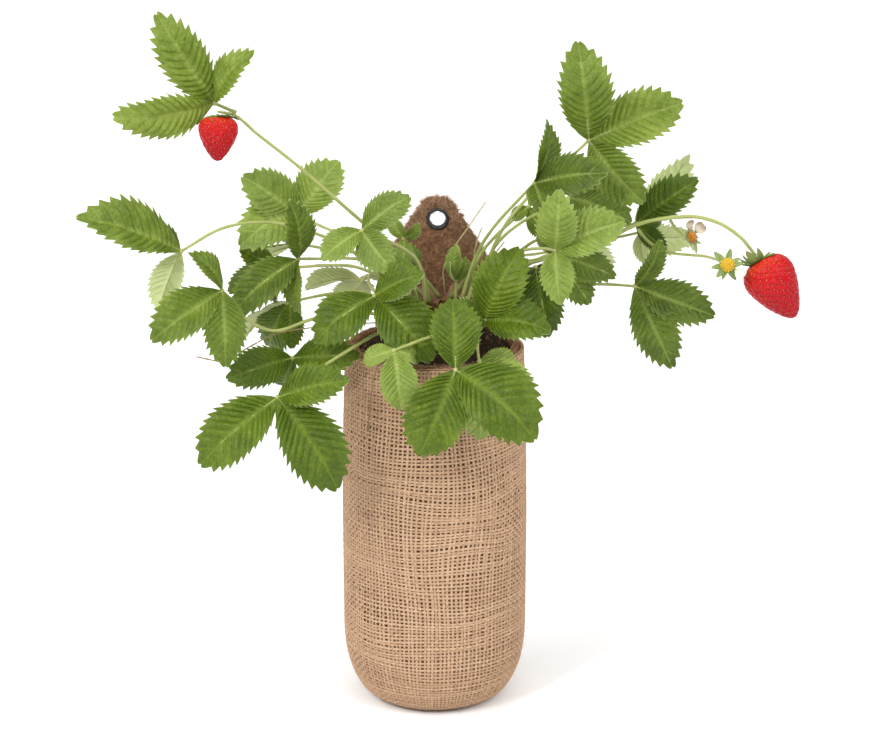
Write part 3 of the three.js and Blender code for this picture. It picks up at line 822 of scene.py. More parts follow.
def base_cloth(random, reach, material):
    """The square weave of the flat base."""
    heap = Heap()
    count = int(2 * reach / WEFT_PITCH)
    for way in (0, 1):
        for line in range(count + 1):
            offset = -reach + line * 2 * reach / count
            half = math.sqrt(max(reach ** 2 - offset ** 2, 0)) + 0.001
            marks = np.arange(count + 1) * 2 * reach / count - reach
            inside = np.flatnonzero(abs(marks) < half)
            if len(inside) < 3:
                continue
            z = BASE_LIFT + np.where((inside + line + way) % 2, BASE_CRIMP, -BASE_CRIMP)
            along, flat = marks[inside], np.full(len(inside), offset)
            path = np.stack([along, flat, z] if way else [flat, along, z], 1)
            verts, faces = tube_shell(path, 0.0005, THREAD_SIDES)
            heap.add(verts, faces, tone=random.uniform(0.05, 0.4))
    return heap.build("jute_base", [material])


def jute_fuzz(random, turns, place, material):
    """Loose fibre ends that stand off the cloth."""
    heap = Heap()
    near = place(turns, 0.0004, 0)
    far = place(turns, 0.0022, 0)
    for _ in range(1500):
        i, k = random.integers(0, near.shape[0]), random.integers(2, near.shape[1] - 6)
        start = near[i, k]
        end = mix(start, far[i, k], random.uniform(0.3, 1.0)) + random.normal(0, 0.0016, 3)
        end[2] = max(end[2], 0.0006)
        verts, faces = spike(start, end, 0.00008, random.normal(0, 0.0004, 3))
        heap.add(verts, faces, tone=random.uniform(0.2, 0.5))
    return heap.build("jute_fuzz", [material])


# --- coir liner, tab and eyelet ---------------------------------------------------------------

LINER_DEPTH = 0.0027  # from the bag's outer face to the liner's
LINER_WALL = 0.0045
TAB_ROWS = 34  # of vertices over each face of the tab
MOUTH_ROWS = slice(75, 82)  # of the cup's vertices, where it turns over at the mouth
COIR_TONES = ((0.10, 0.044, 0.022), (0.26, 0.13, 0.068), (0.54, 0.34, 0.205))


def coir_material(name, dark, plain, light):
    pattern = {"scale": 420, "share": 0.7, "detail": 5.0, "roughness": 0.7}
    stops = ((0.15, dark), (0.5, plain), (0.9, light))
    return mottled_material(name, 0.95, 0.1, pattern, stops, (1500, 5.0, 0.0006, 1.0))


def liner_cup(heap):
    """The liner's cup: a wall of pressed fibre inside the bag, round edged at the mouth."""
    outer = evenly(BAG_SECTION, 70)
    outer[:, 1] = np.minimum(np.minimum(outer[:, 1], RIM - 0.0006) + 0.0025, RIM - 0.0002)
    inner_depth = LINER_DEPTH + LINER_WALL
    loops = [(r, 0.0028, LINER_DEPTH) for r in outer[0, 0] * np.linspace(0.02, 0.9, 5)]
    loops += [(r - LINER_DEPTH, z, LINER_DEPTH) for r, z in outer]
    for bend in np.linspace(0, math.pi, 7)[1:-1]:
        inwards = (1 - math.cos(bend)) / 2 * LINER_WALL
        across, high = outer[-1, 0] - LINER_DEPTH - inwards, RIM + 0.0012 * math.sin(bend)
        loops.append((across, high, LINER_DEPTH + inwards))
    loops += [(r - inner_depth, z, inner_depth) for r, z in outer[::-1][:24]]
    columns = 150
    grid = np.array([round_the_bag(np.full(columns, r), circle(columns), z, depth) for r, z, depth in loops])
    outward = grid - grid.mean(1, keepdims=True)
    outward /= np.maximum(np.linalg.norm(outward, axis=2, keepdims=True), 1e-9)
    grid = grid + outward * (rough(grid, 260, 0.0006) - 0.0003)[..., None]
    heap.add(grid.reshape(-1, 3), capped(len(loops), columns), tone=0.1)
    return grid


def tab_outline(eye):
    """The tab's outline, as x and z, seen from the eyelet's middle, which sees all of it."""
    points, _ = welded("coir_liner")
    board = points[points[:, 2] > RIM + 0.001]
    flat = np.unique(np.round(board[:, [0, 2]], 5), axis=0)
    flat = flat[np.linalg.norm(flat - eye, axis=1) > 0.008]
    low = flat[:, 1].min()
    feet = flat[flat[:, 1] < low + 0.001] - [0, 0.012]
    flat = np.vstack([flat, feet])
    order = np.argsort(np.arctan2(flat[:, 1] - eye[1], flat[:, 0] - eye[0]))
    ring = flat[order]
    return np.vstack([ring, ring[:1]])


def fibre(heap, start, way, length, random, radius=0.00014, sag=0.12):
    """One coir fibre lying about `start`."""
    way = unit(way)
    bow = random.normal(0, sag * length, 3)
    near, far = start - way * length / 6 + bow * 0.4, start + way * length / 6 + bow * 0.5
    path = [start - way * length / 2, near, far, start + way * length / 2]
    verts, faces = tube_shell(path, [radius * 0.6, radius, radius, radius * 0.4], 3)
    heap.add(verts, faces, tone=random.uniform(0.15, 0.75))


def hanging_tab(heap, random):
    """The tab, a pressed board with a ragged edge and a hole: its points, and the ways out from its eye."""
    low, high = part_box("hanging_eyelet")
    eye = middle("hanging_eyelet")[[0, 2]]
    hole = (high.x - low.x) / 2 - 0.0011
    points, _ = welded("coir_liner")
    board = points[points[:, 2] > RIM + 0.001]
    front, back = board[:, 1].min(), board[:, 1].max()
    rows, columns = TAB_ROWS, 300
    ring = evenly(tab_outline(eye), columns + 1)[:-1]
    ring = softened(np.vstack([ring[-3:], ring, ring[:3]]), 6)[3:-3]
    way = ring - eye
    far = np.linalg.norm(way, axis=1)
    way = way / far[:, None]
    ragged = rough(np.column_stack([ring, np.zeros(columns)]), 420, 0.0016)
    ragged = ragged + random.normal(0, 0.0002, columns)
    far = far + ragged - 0.0003
    share = np.concatenate([np.linspace(0, 1, rows), np.linspace(1, 0, rows)])
    side = np.repeat([-1.0, 1.0], rows)[:, None]
    plan = eye + way[None] * (hole + (far - hole)[None] * share[:, None])[..., None]
    edge = np.clip((share - 0.9) / 0.1, 0, 1)
    thin = np.sqrt(np.clip(1 - edge ** 2 * 0.8, 0, 1))[:, None]
    y = (front + back) / 2 + side * (back - front) / 2 * thin * np.ones(columns)[None]
    tab = np.stack([plan[..., 0], y, plan[..., 1]], -1)
    relief = rough(tab, 330, 0.0007) + rough(tab, 90, 0.0006) - 0.0003
    tab[..., 1] += side * relief
    heap.add(tab.reshape(-1, 3), looped(2 * rows, columns), tone=0.15)
    return tab, way


def tab_fibres(heap, tab, way, random):
    """Loose fibres over both faces of the tab, and standing out round its edge."""
    rows, columns = TAB_ROWS, tab.shape[1]
    for _ in range(4200):
        _, k = random.integers(1, 2 * rows - 1), random.integers(0, columns)
        reach = random.uniform(0, 1) ** 0.5
        i = int(reach * (rows - 1)) + (rows if random.uniform() < 0.35 else 0)
        start = tab[i, k] + [0, (-1 if i < rows else 1) * random.uniform(0, 0.0005), 0]
        angle = random.uniform(0, math.pi)
        lie = (math.cos(angle), random.normal(0, 0.12), math.sin(angle))
        fibre(heap, start, lie, random.uniform(0.003, 0.010), random)
    for _ in range(900):
        k = random.integers(0, columns)
        out = np.array([way[k, 0], random.normal(0, 0.5), way[k, 1]])
        fibre(heap, tab[rows - 1, k], out + random.normal(0, 0.8, 3), random.uniform(0.002, 0.005), random)


def coir_liner():
    """Cup and hanging tab of pressed coconut fibre, with loose fibres over them."""
    random = np.random.default_rng(23)
    heap = Heap()
    grid = liner_cup(heap)
    tab, way = hanging_tab(heap, random)
    tab_fibres(heap, tab, way, random)
    mouth = grid[MOUTH_ROWS]
    for _ in range(1100):
        i, k = random.integers(0, len(mouth)), random.integers(0, mouth.shape[1])
        around = unit(mouth[i, (k + 1) % mouth.shape[1]] - mouth[i, k])
        start = mouth[i, k] + [0, 0, 0.0003]
        fibre(heap, start, around + random.normal(0, 0.45, 3), random.uniform(0.003, 0.008), random)
    wear(heap, "coir_liner", coir_material("coir", *COIR_TONES))


def eyelet_material():
    shade = Shade("dark_metal", roughness=0.5, specular=0.4, Metallic=0.55)
    tones = ((0.3, (0.014, 0.015, 0.017)), (0.6, (0.05, 0.055, 0.062)), (0.8, (0.10, 0.07, 0.055)))
    shade.colour(shade.ramp(shade.noise(500, 5.0), *tones))
    shade.bump(shade.noise(900), 0.0002, 0.4)
    return shade.material


def eyelet():
    """A pressed metal ring through the tab, its two flanges rolled over the fibre."""
    low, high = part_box("hanging_eyelet")
    outer = (high.x - low.x) / 2
    inner = outer - 0.0023
    half = (high.y - low.y) / 2
    barrel = [(inner, -0.55), (inner + 0.0003, -0.85), (inner + 0.0009, -1), (inner + 0.0016, -0.94)]
    flange = [(outer, -0.72), (outer - 0.0002, -0.62), (inner + 0.0012, -0.70), (inner + 0.0006, -0.5)]
    section = np.array(barrel + flange) * [1, half]
    radius, y = np.vstack([section, section[::-1] * [1, -1]]).T[..., None]
    segments = 72
    turn = circle(segments)
    ring = np.stack([radius * np.cos(turn), y + 0 * turn, radius * np.sin(turn)], -1)
    verts = ring.reshape(-1, 3) + middle("hanging_eyelet")
    dress(make("eyelet_fine", verts, looped(len(radius), segments), [eyelet_material()]), "hanging_eyelet")


# --- soil and crown ---------------------------------------------------------------------------

def soil_material():
    pattern = {"scale": 500, "share": 0.6, "detail": 5.0}
    stops = ((0.2, (0.018, 0.011, 0.007)), (0.55, (0.06, 0.035, 0.02)), (0.95, (0.22, 0.13, 0.07)))
    return mottled_material("soil", 0.95, 0.15, pattern, stops, (1200, 5.0, 0.0006, 1.0))


def soil():
    """Crumbly potting mix: a lumpy top with crumbs and bits of fibre on it."""
    random = np.random.default_rng(37)
    tree = surface_of("soil")
    rows, columns = 46, 150
    turn = circle(columns)
    edge = RIM - 0.006
    depth = LINER_DEPTH + LINER_WALL + 0.0006
    reach = pressed(np.full(columns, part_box("soil")[1].x + 0.0006), turn, depth)
    rim = np.stack([reach * np.cos(turn), reach * np.sin(turn), 0 * turn], -1)
    top = np.linspace(0.01, 1, rows)[:, None, None] * rim
    for point in top.reshape(-1, 3):
        found = hit(tree, (point[0] * 0.985, point[1] * 0.985, 1), (0, 0, -1))
        point[2] = found.z if found else edge
    lumps = rough(top, 150, 0.0026) + rough(top, 420, 0.0015) + rough(top, 1100, 0.0006)
    top[..., 2] += lumps - 0.0012
    grid = np.concatenate([top, [rim + UP * (edge - 0.006), rim + UP * (edge - 0.05)]])
    heap = Heap()
    heap.add(grid.reshape(-1, 3), capped(len(grid), columns), tone=0.0)
    for _ in range(900):
        i, k = random.integers(2, rows), random.integers(0, columns)
        size = random.uniform(0.0004, 0.0014)
        way = unit(random.normal(0, 1, 3))
        path = top[i, k] + np.outer([-1, -0.5, 0.4, 1], way) * size
        verts, faces = tube_shell(path, np.array([0.3, 0.9, 0.8, 0.3]) * size * random.uniform(0.5, 1), 5)
        heap.add(verts, faces, tone=random.uniform(0, 0.55))
    for _ in range(260):
        i, k = random.integers(2, rows), random.integers(0, columns)
        lie = random.normal(0, 1, 3) * [1, 1, 0.25]
        fibre(heap, top[i, k] + [0, 0, 0.0006], lie, random.uniform(0.004, 0.012), random, 0.0002)
    wear(heap, "soil", soil_material())


def scale_blade(base, way, out, length, width, random):
    """A thin pointed papery scale, standing from `base` along `way` and cupped towards `out`."""
    share, sideways = np.linspace(0, 1, 9), np.linspace(-1, 1, 5)
    across = unit(np.cross(way, out))
    half = width / 2 * np.sin(math.pi * np.clip(share * 0.8 + 0.2, 0, 1)) ** 0.8
    lean = random.uniform(0.1, 0.5)
    middle_line = base + np.outer(share * length, way) + np.outer(lean * length * share ** 2, out)
    face = middle_line[:, None] + half[:, None, None] * sideways[None, :, None] * across
    face = face - out * (sideways[None, :, None] ** 2) * half[:, None, None] * 0.6
    return thin_blade(face, out * 0.00025)


def crown_material():
    pattern = {"scale": 260, "share": 0.5, "detail": 5.0}
    stops = ((0.15, (0.07, 0.035, 0.018)), (0.5, (0.24, 0.12, 0.055)), (0.9, (0.45, 0.30, 0.16)))
    return mottled_material("crown", 0.8, 0.25, pattern, stops, (900, 4.0, 0.0004, 0.8))


def crown():
    """The short woody crown the leaves grow from, wrapped in brown papery scales."""
    random = np.random.default_rng(41)
    low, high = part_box("crown")
    centre = middle("crown")
    centre[2] = low.z - 0.002
    size = np.array([(high.x - low.x) / 2, (high.y - low.y) / 2, high.z - low.z + 0.002])
    rows, columns = 22, 44
    lift = np.linspace(0, math.pi / 2 - 0.02, rows)
    turn = circle(columns)
    level = np.stack([np.cos(turn), np.sin(turn), 0 * turn], -1)
    dome = (np.cos(lift)[:, None, None] * level + np.sin(lift)[:, None, None] * UP) * size
    dome = centre + dome * (1 + rough(dome, 260, 0.22))[..., None]
    heap = Heap()
    heap.add(dome.reshape(-1, 3), capped(rows, columns), tone=0.15)
    for k in range(46):
        ring = random.uniform(0.55, 1.05)
        out = np.array([math.cos(k * GOLDEN_TURN), math.sin(k * GOLDEN_TURN), 0])
        base = centre + out * size * ring + [0, 0, size[2] * (1.05 - ring) * 0.9]
        way = unit(out * random.uniform(0.15, 0.7) + UP)
        length, width = random.uniform(0.008, 0.016), random.uniform(0.004, 0.007)
        verts, faces = scale_blade(base, way, out, length, width, random)
        heap.add(verts, faces, tone=random.uniform(0.0, 0.6))
    wear(heap, "crown", crown_material())


# --- stems and dry stalks ---------------------------------------------------------------------

def green_stem(node, base, end):
    """A hairy flowering stem, from its radius at the base to that at its end."""
    random = np.random.default_rng(seed_of(node))
    rings = stalk_path(node)
    if np.linalg.norm(rings[-1] - middle("crown")) < np.linalg.norm(rings[0] - middle("crown")):
        rings = rings[::-1]
    steps = max(12, len(rings) * 7)
    path = curve_through(rings, steps)
    radii = mix(base, end, np.linspace(0, 1, steps)) * (1 + 0.05 * np.sin(np.arange(steps) * 0.9))
    heap = Heap()
    verts, faces = tube_shell(path, radii, 10)
    heap.add(verts, faces, tone=np.repeat(np.linspace(0.1, 0.35, steps), 10).tolist() + [0.1, 0.35])
    hairs(heap, path, min(base, end), steps * 10, random, tone=0.6)
    wear(heap, node, STALK)


def dry_stalk(node, material):
    """A withered stalk: shrunken, kinked and ribbed."""
    random = np.random.default_rng(seed_of(node))
    rings = stalk_path(node)
    steps = len(rings) * 9
    path = curve_through(rings, steps) + np.cumsum(random.normal(0, 0.00006, (steps, 3)), axis=0)
    radii = 0.00058 * (1 + 0.22 * np.sin(np.arange(steps) * 1.7) * random.uniform(0.3, 1, steps))
    radii[[0, -1]] *= 0.6
    heap = Heap()
    verts, faces = tube_shell(path, radii, 8, flat=0.75)
    heap.add(verts, faces, tone=random.uniform(0.1, 0.6))
    for _ in range(steps):
        k = random.integers(1, steps - 1)
        end = path[k] + random.normal(0, 0.0011, 3)
        verts, faces = spike(path[k], end, 0.00008)
        heap.add(verts, faces, tone=0.4)
    wear(heap, node, material)


def dry_material():
    pattern = {"scale": 200, "share": 0.6, "detail": 5.0}
    stops = ((0.2, (0.11, 0.07, 0.035)), (0.55, (0.28, 0.20, 0.095)), (0.95, (0.48, 0.40, 0.22)))
    return mottled_material("dry_stalk", 0.9, 0.12, pattern, stops, (800, 4.0, 0.0003, 0.8))


def stems():
    green_stem("fruit_stem_left", 0.00125, 0.0009)
    green_stem("truss_stem_right", 0.00155, 0.00105)
    green_stem("flower_stalk_open", 0.0010, 0.0008)
    green_stem("flower_stalk_faded", 0.0009, 0.0008)
    material = dry_material()
    for node in nodes_named("dry_stalk_"):
        dry_stalk(node, material)


# --- fruit and flowers ------------------------------------------------------------------------

# The berry's outline from its stalk end to its tip: shares of its radius and length
SHOULDER = [(0.02, 0.04), (0.25, 0.0), (0.5, 0.0), (0.78, 0.055), (0.95, 0.16), (1.0, 0.27)]
BERRY_SECTION = SHOULDER + [(0.95, 0.41), (0.79, 0.59), (0.58, 0.76), (0.37, 0.89), (0.19, 0.97), (0.03, 1.0)]
BERRY_HINT = [0, 1, 0.1]  # sets where round the berry its angles start


def berry_axes(berry_node, calyx_node):
    """The berry's stalk end, its axis, length and radius."""
    points, _ = welded(berry_node)
    top = middle(calyx_node)
    tip = points[np.linalg.norm(points - top, axis=1).argmax()]
    axis = unit(tip - top)
    along = (points - top) @ axis
    radius = np.linalg.norm(points - top - np.outer(along, axis), axis=1).max()
    return top + axis * along.min(), axis, along.max() - along.min(), radius


def square_to(axis, hint):
    """Two directions square to an axis and to each other, the first also square to the hint."""
    side = unit(np.cross(axis, hint))
    return side, np.cross(axis, side)


def berry(node, calyx_node, seeds, materials):
    """A ripe berry: its surface sinks at every seed, and a seed sits in each pit."""
    random = np.random.default_rng(seed_of(node))
    start, axis, length, radius = berry_axes(node, calyx_node)
    side, other = square_to(axis, BERRY_HINT)
    rows, columns = 130, 170
    flat = curve_through(np.array([(r * radius, z * length, 0) for r, z in BERRY_SECTION]), rows)
    turn = circle(columns)

    def point(r, z, angle):
        wobble = 1 + 0.03 * np.sin(2 * angle + 1) + 0.02 * np.sin(3 * angle + 5 * z / length)
        out = np.cos(angle)[..., None] * side + np.sin(angle)[..., None] * other
        return start + z[..., None] * axis + (r * wobble)[..., None] * out

    area = np.cumsum(flat[:, 0])
    wanted = (np.arange(seeds) + 0.7) / seeds * area[-1]
    seed_r, seed_z = np.interp(wanted, area, flat[:, 0]), np.interp(wanted, area, flat[:, 1])
    angles = np.arange(seeds) * GOLDEN_TURN + random.normal(0, 0.05, seeds)
    seed_at = point(seed_r, seed_z, angles)
    shape = (rows, columns)
    grid = point(*(np.broadcast_to(part, shape) for part in (flat[:, :1], flat[:, 1:2], turn)))
    slope = directions(flat[:, :2])
    out = np.cos(turn)[:, None] * side + np.sin(turn)[:, None] * other
    normals = slope[:, 1][:, None, None] * out[None] - slope[:, 0][:, None, None] * axis
    pitch = math.sqrt(4 * math.pi * (radius * 0.8) ** 2 / seeds)
    gaps = np.linalg.norm(grid.reshape(-1, 1, 3) - seed_at[None], axis=2).min(1).reshape(shape)
    sunk = np.exp(-(gaps / (0.33 * pitch)) ** 2)
    grid = grid + normals * (pitch * (0.09 * smooth(0.25, 0.75, gaps / pitch) - 0.40 * sunk))[..., None]
    heap = Heap()
    along = np.repeat(flat[:, 1] / length, columns)
    # the flesh's tone is how deep each pit sinks; its material darkens the pits with it as painted shade
    heap.add(grid.reshape(-1, 3), capped(rows, columns), 0, tone=sunk.reshape(-1), along=along)
    seed_slope = np.interp(wanted, area, slope[:, 0]), np.interp(wanted, area, slope[:, 1])
    for k in range(seeds):
        away = spoke(angles[k], side, other)
        normal = unit(seed_slope[1][k] * away - seed_slope[0][k] * axis)
        down = unit(np.cross(normal, np.cross(axis, normal)) + 1e-6)
        base = seed_at[k] - normal * 0.34 * pitch
        path = base + np.outer([-0.5, -0.25, 0.1, 0.4, 0.6], down) * 0.00115
        verts, faces = tube_shell(path, np.array([0.12, 0.36, 0.42, 0.28, 0.05]) * 0.00105, 6)
        heap.add(verts, faces, 1, tone=random.uniform(0, 1))
    wear(heap, node, *materials)


def berry_materials():
    """Red flesh with painted shade darkening its pits, pale at the stalk end and crimson towards the tip; and
    the seeds.
    """
    shade = Shade("berry_flesh", roughness=0.12, specular=0.17)
    # tone here is pit depth: the ramps turn the deep pits darker red, as painted shade
    patch = shade.mottled(120, 0.5, 3.0, own=0.4)
    reds = (0.48, 0.009, 0.008), (0.38, 0.002, 0.003), (0.20, 0.001, 0.002)
    crimsons = (0.36, 0.004, 0.014), (0.24, 0.001, 0.008), (0.12, 0.0005, 0.004)
    ripe, deep = (shade.ramp(patch, *zip((0.15, 0.5, 0.85), tones)) for tones in (reds, crimsons))
    red = shade.blend(shade.value("along"), ripe, deep)
    pale = shade.times(shade.ramp(shade.value("along"), (0.0, (1, 1, 1)), (0.16, (0, 0, 0))), 0.35)
    shade.colour(shade.blend(pale, red, (0.62, 0.08, 0.02, 1)))
    shade.bump(shade.noise(700, 2.0), 0.0002, 0.3)
    seed = Shade("berry_seed", roughness=0.45, specular=0.4)
    seed.colour(seed.ramp(seed.value("tone"), (0.0, (0.46, 0.05, 0.02)), (1.0, (0.66, 0.22, 0.06))))
    seed.bump(seed.noise(2500), 0.0001, 0.5)
    return [shade.material, seed.material]


def sepal(heap, base, out, axis, length, width, curl, tone):
    """A pointed sepal from `base` outwards, curling along the axis; thin and closed."""
    share, sideways = np.linspace(0, 1, 12), np.linspace(-1, 1, 7)
    across = unit(np.cross(axis, out))
    half = width / 2 * np.sin(math.pi * np.clip(share * 0.78 + 0.2, 0, 0.985)) ** 0.75
    half[-1] = width * 0.03
    bend = curl * share ** 1.5
    line = base + np.outer(length * share * np.cos(bend * 0.6), out)
    line = line + np.outer(length * share * np.sin(bend), axis)
    cup = 0.25 * half[:, None] * sideways[None] ** 2
    lift = cup + 0.06 * width * np.cos(sideways * 5)[None] * np.sin(share * 9)[:, None]
    face = line[:, None] + half[:, None, None] * sideways[None, :, None] * across + lift[..., None] * axis
    verts, faces = thin_blade(face, unit(axis) * 0.0003)
    heap.add(verts, faces, tone=tone, edge=np.repeat(share, 2 * len(sideways)))


def sepal_material(name, green, pale, dry):
    """Green sepals that dry to brown at their tips."""
    shade = Shade(name, roughness=0.6, specular=0.3)
    body = shade.ramp(shade.mottled(300, 0.5, own=0.5), (0.25, green), (0.75, pale))
    tip = shade.times(shade.math("POWER", shade.value("edge"), 3.0), shade.value("tone"))
    shade.colour(shade.blend(tip, body, (*dry, 1)))
    shade.bump(shade.noise(900, 3.0), 0.0002, 0.6)
    return shade.material


def calyx(node, berry_node, count, reach, droop, material):
    """The leafy collar at a berry's stalk end: long and short sepals by turns."""
    random = np.random.default_rng(seed_of(node))
    _, axis, _, radius = berry_axes(berry_node, node)
    side, other = square_to(axis, BERRY_HINT)
    heap = Heap()
    hub = middle(node)
    for k in range(count):
        angle = k * 2 * math.pi / count + random.normal(0, 0.12)
        out = spoke(angle, side, other)
        size = radius * reach * (1.0 if k % 2 else 0.72) * random.uniform(0.8, 1.2)
        curl = random.uniform(*droop)
        width, tone = size * random.uniform(0.36, 0.5), random.uniform(0.1, 1.0)
        sepal(heap, hub + out * radius * 0.08, out, -axis, size, width, curl, tone)
    knob = hub + np.outer(np.linspace(-0.0018, 0.0012, 6), -axis)
    verts, faces = tube_shell(knob, np.array([0.5, 1.4, 1.7, 1.5, 1.1, 0.8]) * radius * 0.11, 12)
    heap.add(verts, faces, 0, tone=0.1, edge=0.0)
    wear(heap, node, material)


def flower_axis(name):
    """A flower's middle and the way it faces, from its calyx towards its centre."""
    base, eye = middle(name + "_calyx"), middle(name + "_centre")
    return base, unit(eye - base)


def flower_calyx(name, sepals, reach, droop, material):
    """The flower's green star of long and short sepals, on its knob."""
    random = np.random.default_rng(seed_of(name))
    base, axis = flower_axis(name)
    side, other = square_to(axis, UP)
    heap = Heap()
    for k in range(sepals):
        angle = k * 2 * math.pi / sepals + random.normal(0, 0.1)
        out = spoke(angle, side, other)
        size = reach * (1.0 if k % 2 else 0.78) * random.uniform(0.85, 1.1)
        curl, tone = droop * random.uniform(-0.8, 1), random.uniform(0, 0.7)
        sepal(heap, base + out * 0.0008, out, axis, size, size * 0.42, curl, tone)
    knob = base + np.outer(np.linspace(-0.0022, 0.0014, 6), axis)
    verts, faces = tube_shell(knob, np.array([0.5, 1.2, 2.2, 3.0, 3.3, 2.6]) * 0.001, 14)
    heap.add(verts, faces, 0, tone=0.1, edge=0.0)
    wear(heap, name + "_calyx", material)


def flower_eye(name, materials, stamens):
    """The flower's domed centre, set with tiny pistils, and the stamens round it."""
    random = np.random.default_rng(seed_of(name) + 5)
    base, axis = flower_axis(name)
    low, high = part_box(name + "_centre")
    radius = max(high - low) / 2 * 0.9
    wide, tall = radius * 0.82, radius * 0.9
    side, other = square_to(axis, UP)
    heap = Heap()
    foot = base + axis * 0.0008
    share = np.linspace(0, 1, 10)
    dome = wide * np.sqrt(np.clip(1.02 - share ** 2, 0.01, 1))
    verts, faces = tube_shell(foot + np.outer(share * tall, axis), dome, 24)
    heap.add(verts, faces, 0, tone=0.2)
    count = 150
    for k in range(count):
        tilt = math.acos(1 - (k + 0.5) / count)
        out = math.sin(tilt) * spoke(k * GOLDEN_TURN, side, other)
        point = foot + out * wide + axis * math.cos(tilt) * tall
        way = unit(out + axis * (math.cos(tilt) + 0.2))
        pistil = point + np.outer([0, 0.0003, 0.0007, 0.0009], way)
        verts, faces = tube_shell(pistil, [0.00022, 0.00030, 0.00026, 0.00006], 5)
        heap.add(verts, faces, 0, tone=random.uniform(0.2, 1))
    for k in range(stamens):
        angle = k * 2 * math.pi / stamens + random.normal(0, 0.05)
        out = spoke(angle, side, other)
        lift = random.uniform(0.0012, 0.003)
        start = foot + out * radius * 0.8
        end = start + out * 0.0012 + axis * lift
        verts, faces = tube_shell([start, (start + end) / 2 + out * 0.0003, end], 0.00016, 5)
        heap.add(verts, faces, 0, tone=0.8)
        anther = end + np.outer([-0.0006, -0.0003, 0.0003, 0.0006], axis)
        verts, faces = tube_shell(anther, [0.0001, 0.0004, 0.0004, 0.0001], 6)
        heap.add(verts, faces, 1, tone=random.uniform(0, 1))
    wear(heap, name + "_centre", *materials)


def petal(node, name, material, crumple):
    """A rounded petal with a narrow foot, rippled across; it lies as its CAD disc does."""
    random = np.random.default_rng(seed_of(node))
    base, axis = flower_axis(name)
    centre = middle(node)
    points, _ = welded(node)
    flat = points - points.mean(0)
    normal = np.linalg.svd(flat, full_matrices=False)[2][2]
    normal = normal if normal @ axis > 0 else -normal
    size = np.linalg.norm(flat, axis=1).max()
    out = centre - base
    out = unit(out - normal * (out @ normal))
    across = np.cross(normal, out)
    share, sideways = np.linspace(0, 1, 22)[:, None], np.linspace(-1, 1, 17)[None]
    rounding = np.sqrt(np.clip(1 - smooth(0.62, 1.12, share) ** 2, 0, 1))
    half = size * 0.98 * (0.16 + 0.84 * smooth(0, 0.5, share)) * rounding
    waves = np.sin(sideways * 5 + random.uniform(0, 6)) * share + 0.6 * np.sin(share * 8)
    lift = size * (crumple * waves + 0.25 * sideways ** 2 + 0.12 * share ** 2 - 0.1)
    line = centre + ((share * 2 - 1) * size)[..., None] * out
    face = line + (half * sideways)[..., None] * across + lift[..., None] * normal
    verts, faces = thin_blade(face, normal * 0.00022)
    heap = Heap()
    heap.add(verts, faces, tone=np.repeat(share, 2 * sideways.size))
    wear(heap, node, material)


def petal_material(name, foot, body, tip):
    pattern = {"scale": 400, "share": 0.25, "own": 0.8}
    stops = ((0.1, foot), (0.5, body), (0.95, tip))
    return mottled_material(name, 0.65, 0.25, pattern, stops, (700, 3.0, 0.0002, 0.4))


def pollen_material(name, dark, light):
    pattern = {"scale": 900, "share": 0.3}
    stops = ((0.2, dark), (1.0, light))
    return mottled_material(name, 0.8, 0.2, pattern, stops, (3000, 4.0, 0.0001, 0.6))


def fruit_and_flowers():
    flesh = berry_materials()
    berry("berry_small", "calyx_small", 150, flesh)
    berry("berry_large", "calyx_large", 270, flesh)
    green = sepal_material("sepal", (0.05, 0.13, 0.02), (0.17, 0.30, 0.07), (0.25, 0.13, 0.05))
    calyx("calyx_small", "berry_small", 10, 1.0, (-0.75, 0.25), green)
    calyx("calyx_large", "berry_large", 11, 0.8, (-0.4, 1.3), green)
    fresh = sepal_material("sepal_fresh", (0.12, 0.20, 0.05), (0.32, 0.41, 0.15), (0.20, 0.20, 0.09))
    pale = sepal_material("sepal_pale", (0.26, 0.33, 0.13), (0.48, 0.52, 0.28), (0.35, 0.24, 0.12))
    flower_calyx("flower_open", 10, 0.0112, 0.25, fresh)
    flower_calyx("flower_faded", 10, 0.0095, 0.5, pale)
    yellow = pollen_material("pollen", (0.62, 0.36, 0.02), (0.85, 0.66, 0.08))
    rust = pollen_material("pollen_old", (0.34, 0.12, 0.02), (0.66, 0.32, 0.05))
    brown = pollen_material("anther_old", (0.12, 0.06, 0.02), (0.35, 0.2, 0.08))
    flower_eye("flower_open", [yellow, yellow], 18)
    flower_eye("flower_faded", [rust, brown], 16)
    # the open flower's petal is white; its greyish tones are painted shade, so it shows against the white
    # floor
    white = petal_material("petal", (0.50, 0.52, 0.30), (0.66, 0.65, 0.58), (0.60, 0.57, 0.50))
    dry = petal_material("petal_dry", (0.34, 0.30, 0.18), (0.56, 0.50, 0.38), (0.26, 0.17, 0.11))
    petal("flower_open_petal", "flower_open", white, 0.04)
    petal("flower_faded_petal_1", "flower_faded", dry, 0.12)
    petal("flower_faded_petal_2", "flower_faded", dry, 0.12)


# --- camera, light and floor ------------------------------------------------------------------

CAMERA_TILT = math.radians(17)  # how far the camera looks down
CAMERA_DISTANCE = 2.0
CAMERA_AIM = (0.0035, 0.0, 0.218)
CAMERA_LENS = 126.8
FLOOR_HALF = 60.0  # wide enough that its far edge is never seen


def camera():
    data = bpy.data.cameras.new("camera")
    data.lens = CAMERA_LENS
    data.sensor_width = 36
    obj = bpy.data.objects.new("camera", data)
    back = Vector((0, -math.cos(CAMERA_TILT), math.sin(CAMERA_TILT)))
    obj.location = Vector(CAMERA_AIM) + back * CAMERA_DISTANCE
    obj.rotation_euler = (math.pi / 2 - CAMERA_TILT, 0, 0)
    bpy.context.scene.collection.objects.link(obj)
    bpy.context.scene.camera = obj


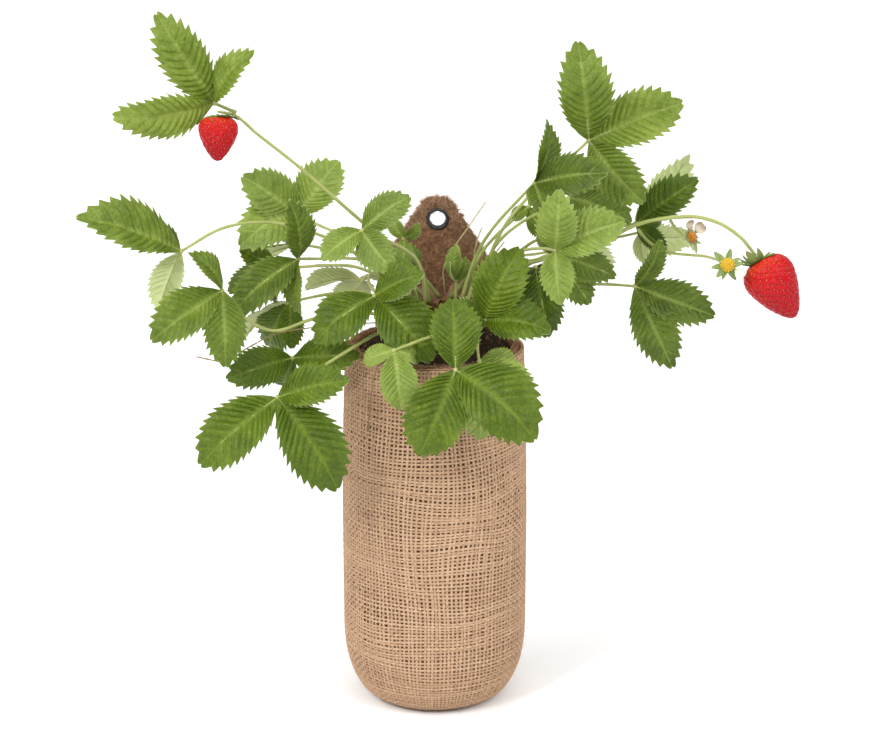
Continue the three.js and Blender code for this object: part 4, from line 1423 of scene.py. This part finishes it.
def floor():
    corners = [(x * FLOOR_HALF, y * FLOOR_HALF, 0) for x, y in ((-1, -1), (1, -1), (1, 1), (-1, 1))]
    obj = make("floor", corners, [(0, 1, 2, 3)], [floor_material()], flat=True)


def floor_material():
    shade = Shade("floor", roughness=0.9, specular=0.1)
    shade.colour(shade.ramp(shade.noise(3), (0.3, (0.94, 0.94, 0.94)), (0.7, (0.95, 0.95, 0.95))))
    return shade.material


def sun(name, heading, height, strength, spread):
    """A distant soft light, from a heading round the object and a height above the floor, in degrees."""
    data = bpy.data.lights.new(name, "SUN")
    data.energy = strength
    data.angle = math.radians(spread)
    obj = bpy.data.objects.new(name, data)
    turn, lift = math.radians(heading), math.radians(height)
    away = Vector((math.sin(turn) * math.cos(lift), -math.cos(turn) * math.cos(lift), math.sin(lift)))
    obj.rotation_euler = (-away).to_track_quat("-Z", "Y").to_euler()
    bpy.context.scene.collection.objects.link(obj)


def lamp(name, place, size, watts):
    """A small soft light turned to the middle of the object; glossy things show it."""
    data = bpy.data.lights.new(name, "AREA")
    data.size = size
    data.energy = watts
    obj = bpy.data.objects.new(name, data)
    obj.location = place
    obj.rotation_euler = (Vector(CAMERA_AIM) - Vector(place)).to_track_quat("-Z", "Y").to_euler()
    bpy.context.scene.collection.objects.link(obj)


def lights():
    world = bpy.data.worlds.new("studio")
    world.use_nodes = True
    backdrop = world.node_tree.nodes["Background"]
    backdrop.inputs["Color"].default_value = (1, 1, 1, 1)
    backdrop.inputs["Strength"].default_value = 0.42
    bpy.context.scene.world = world
    sun("left", -60, 42, 1.8, 45)
    sun("right", 58, 42, 1.4, 45)
    sun("front", -8, 52, 0.8, 50)
    sun("back", 170, 60, 0.5, 45)
    lamp("glint_left", (-0.7, -1.1, 1.0), 0.10, 5.0)
    lamp("glint_right", (0.9, -0.9, 0.9), 0.08, 2.0)


# --- the whole thing --------------------------------------------------------------------------


scene = bpy.context.scene
scene.view_settings.view_transform = "Standard"
camera()
lights()
floor()
leaves()
stems()
jute_bag()
coir_liner()
eyelet()
soil()
crown()
fruit_and_flowers()
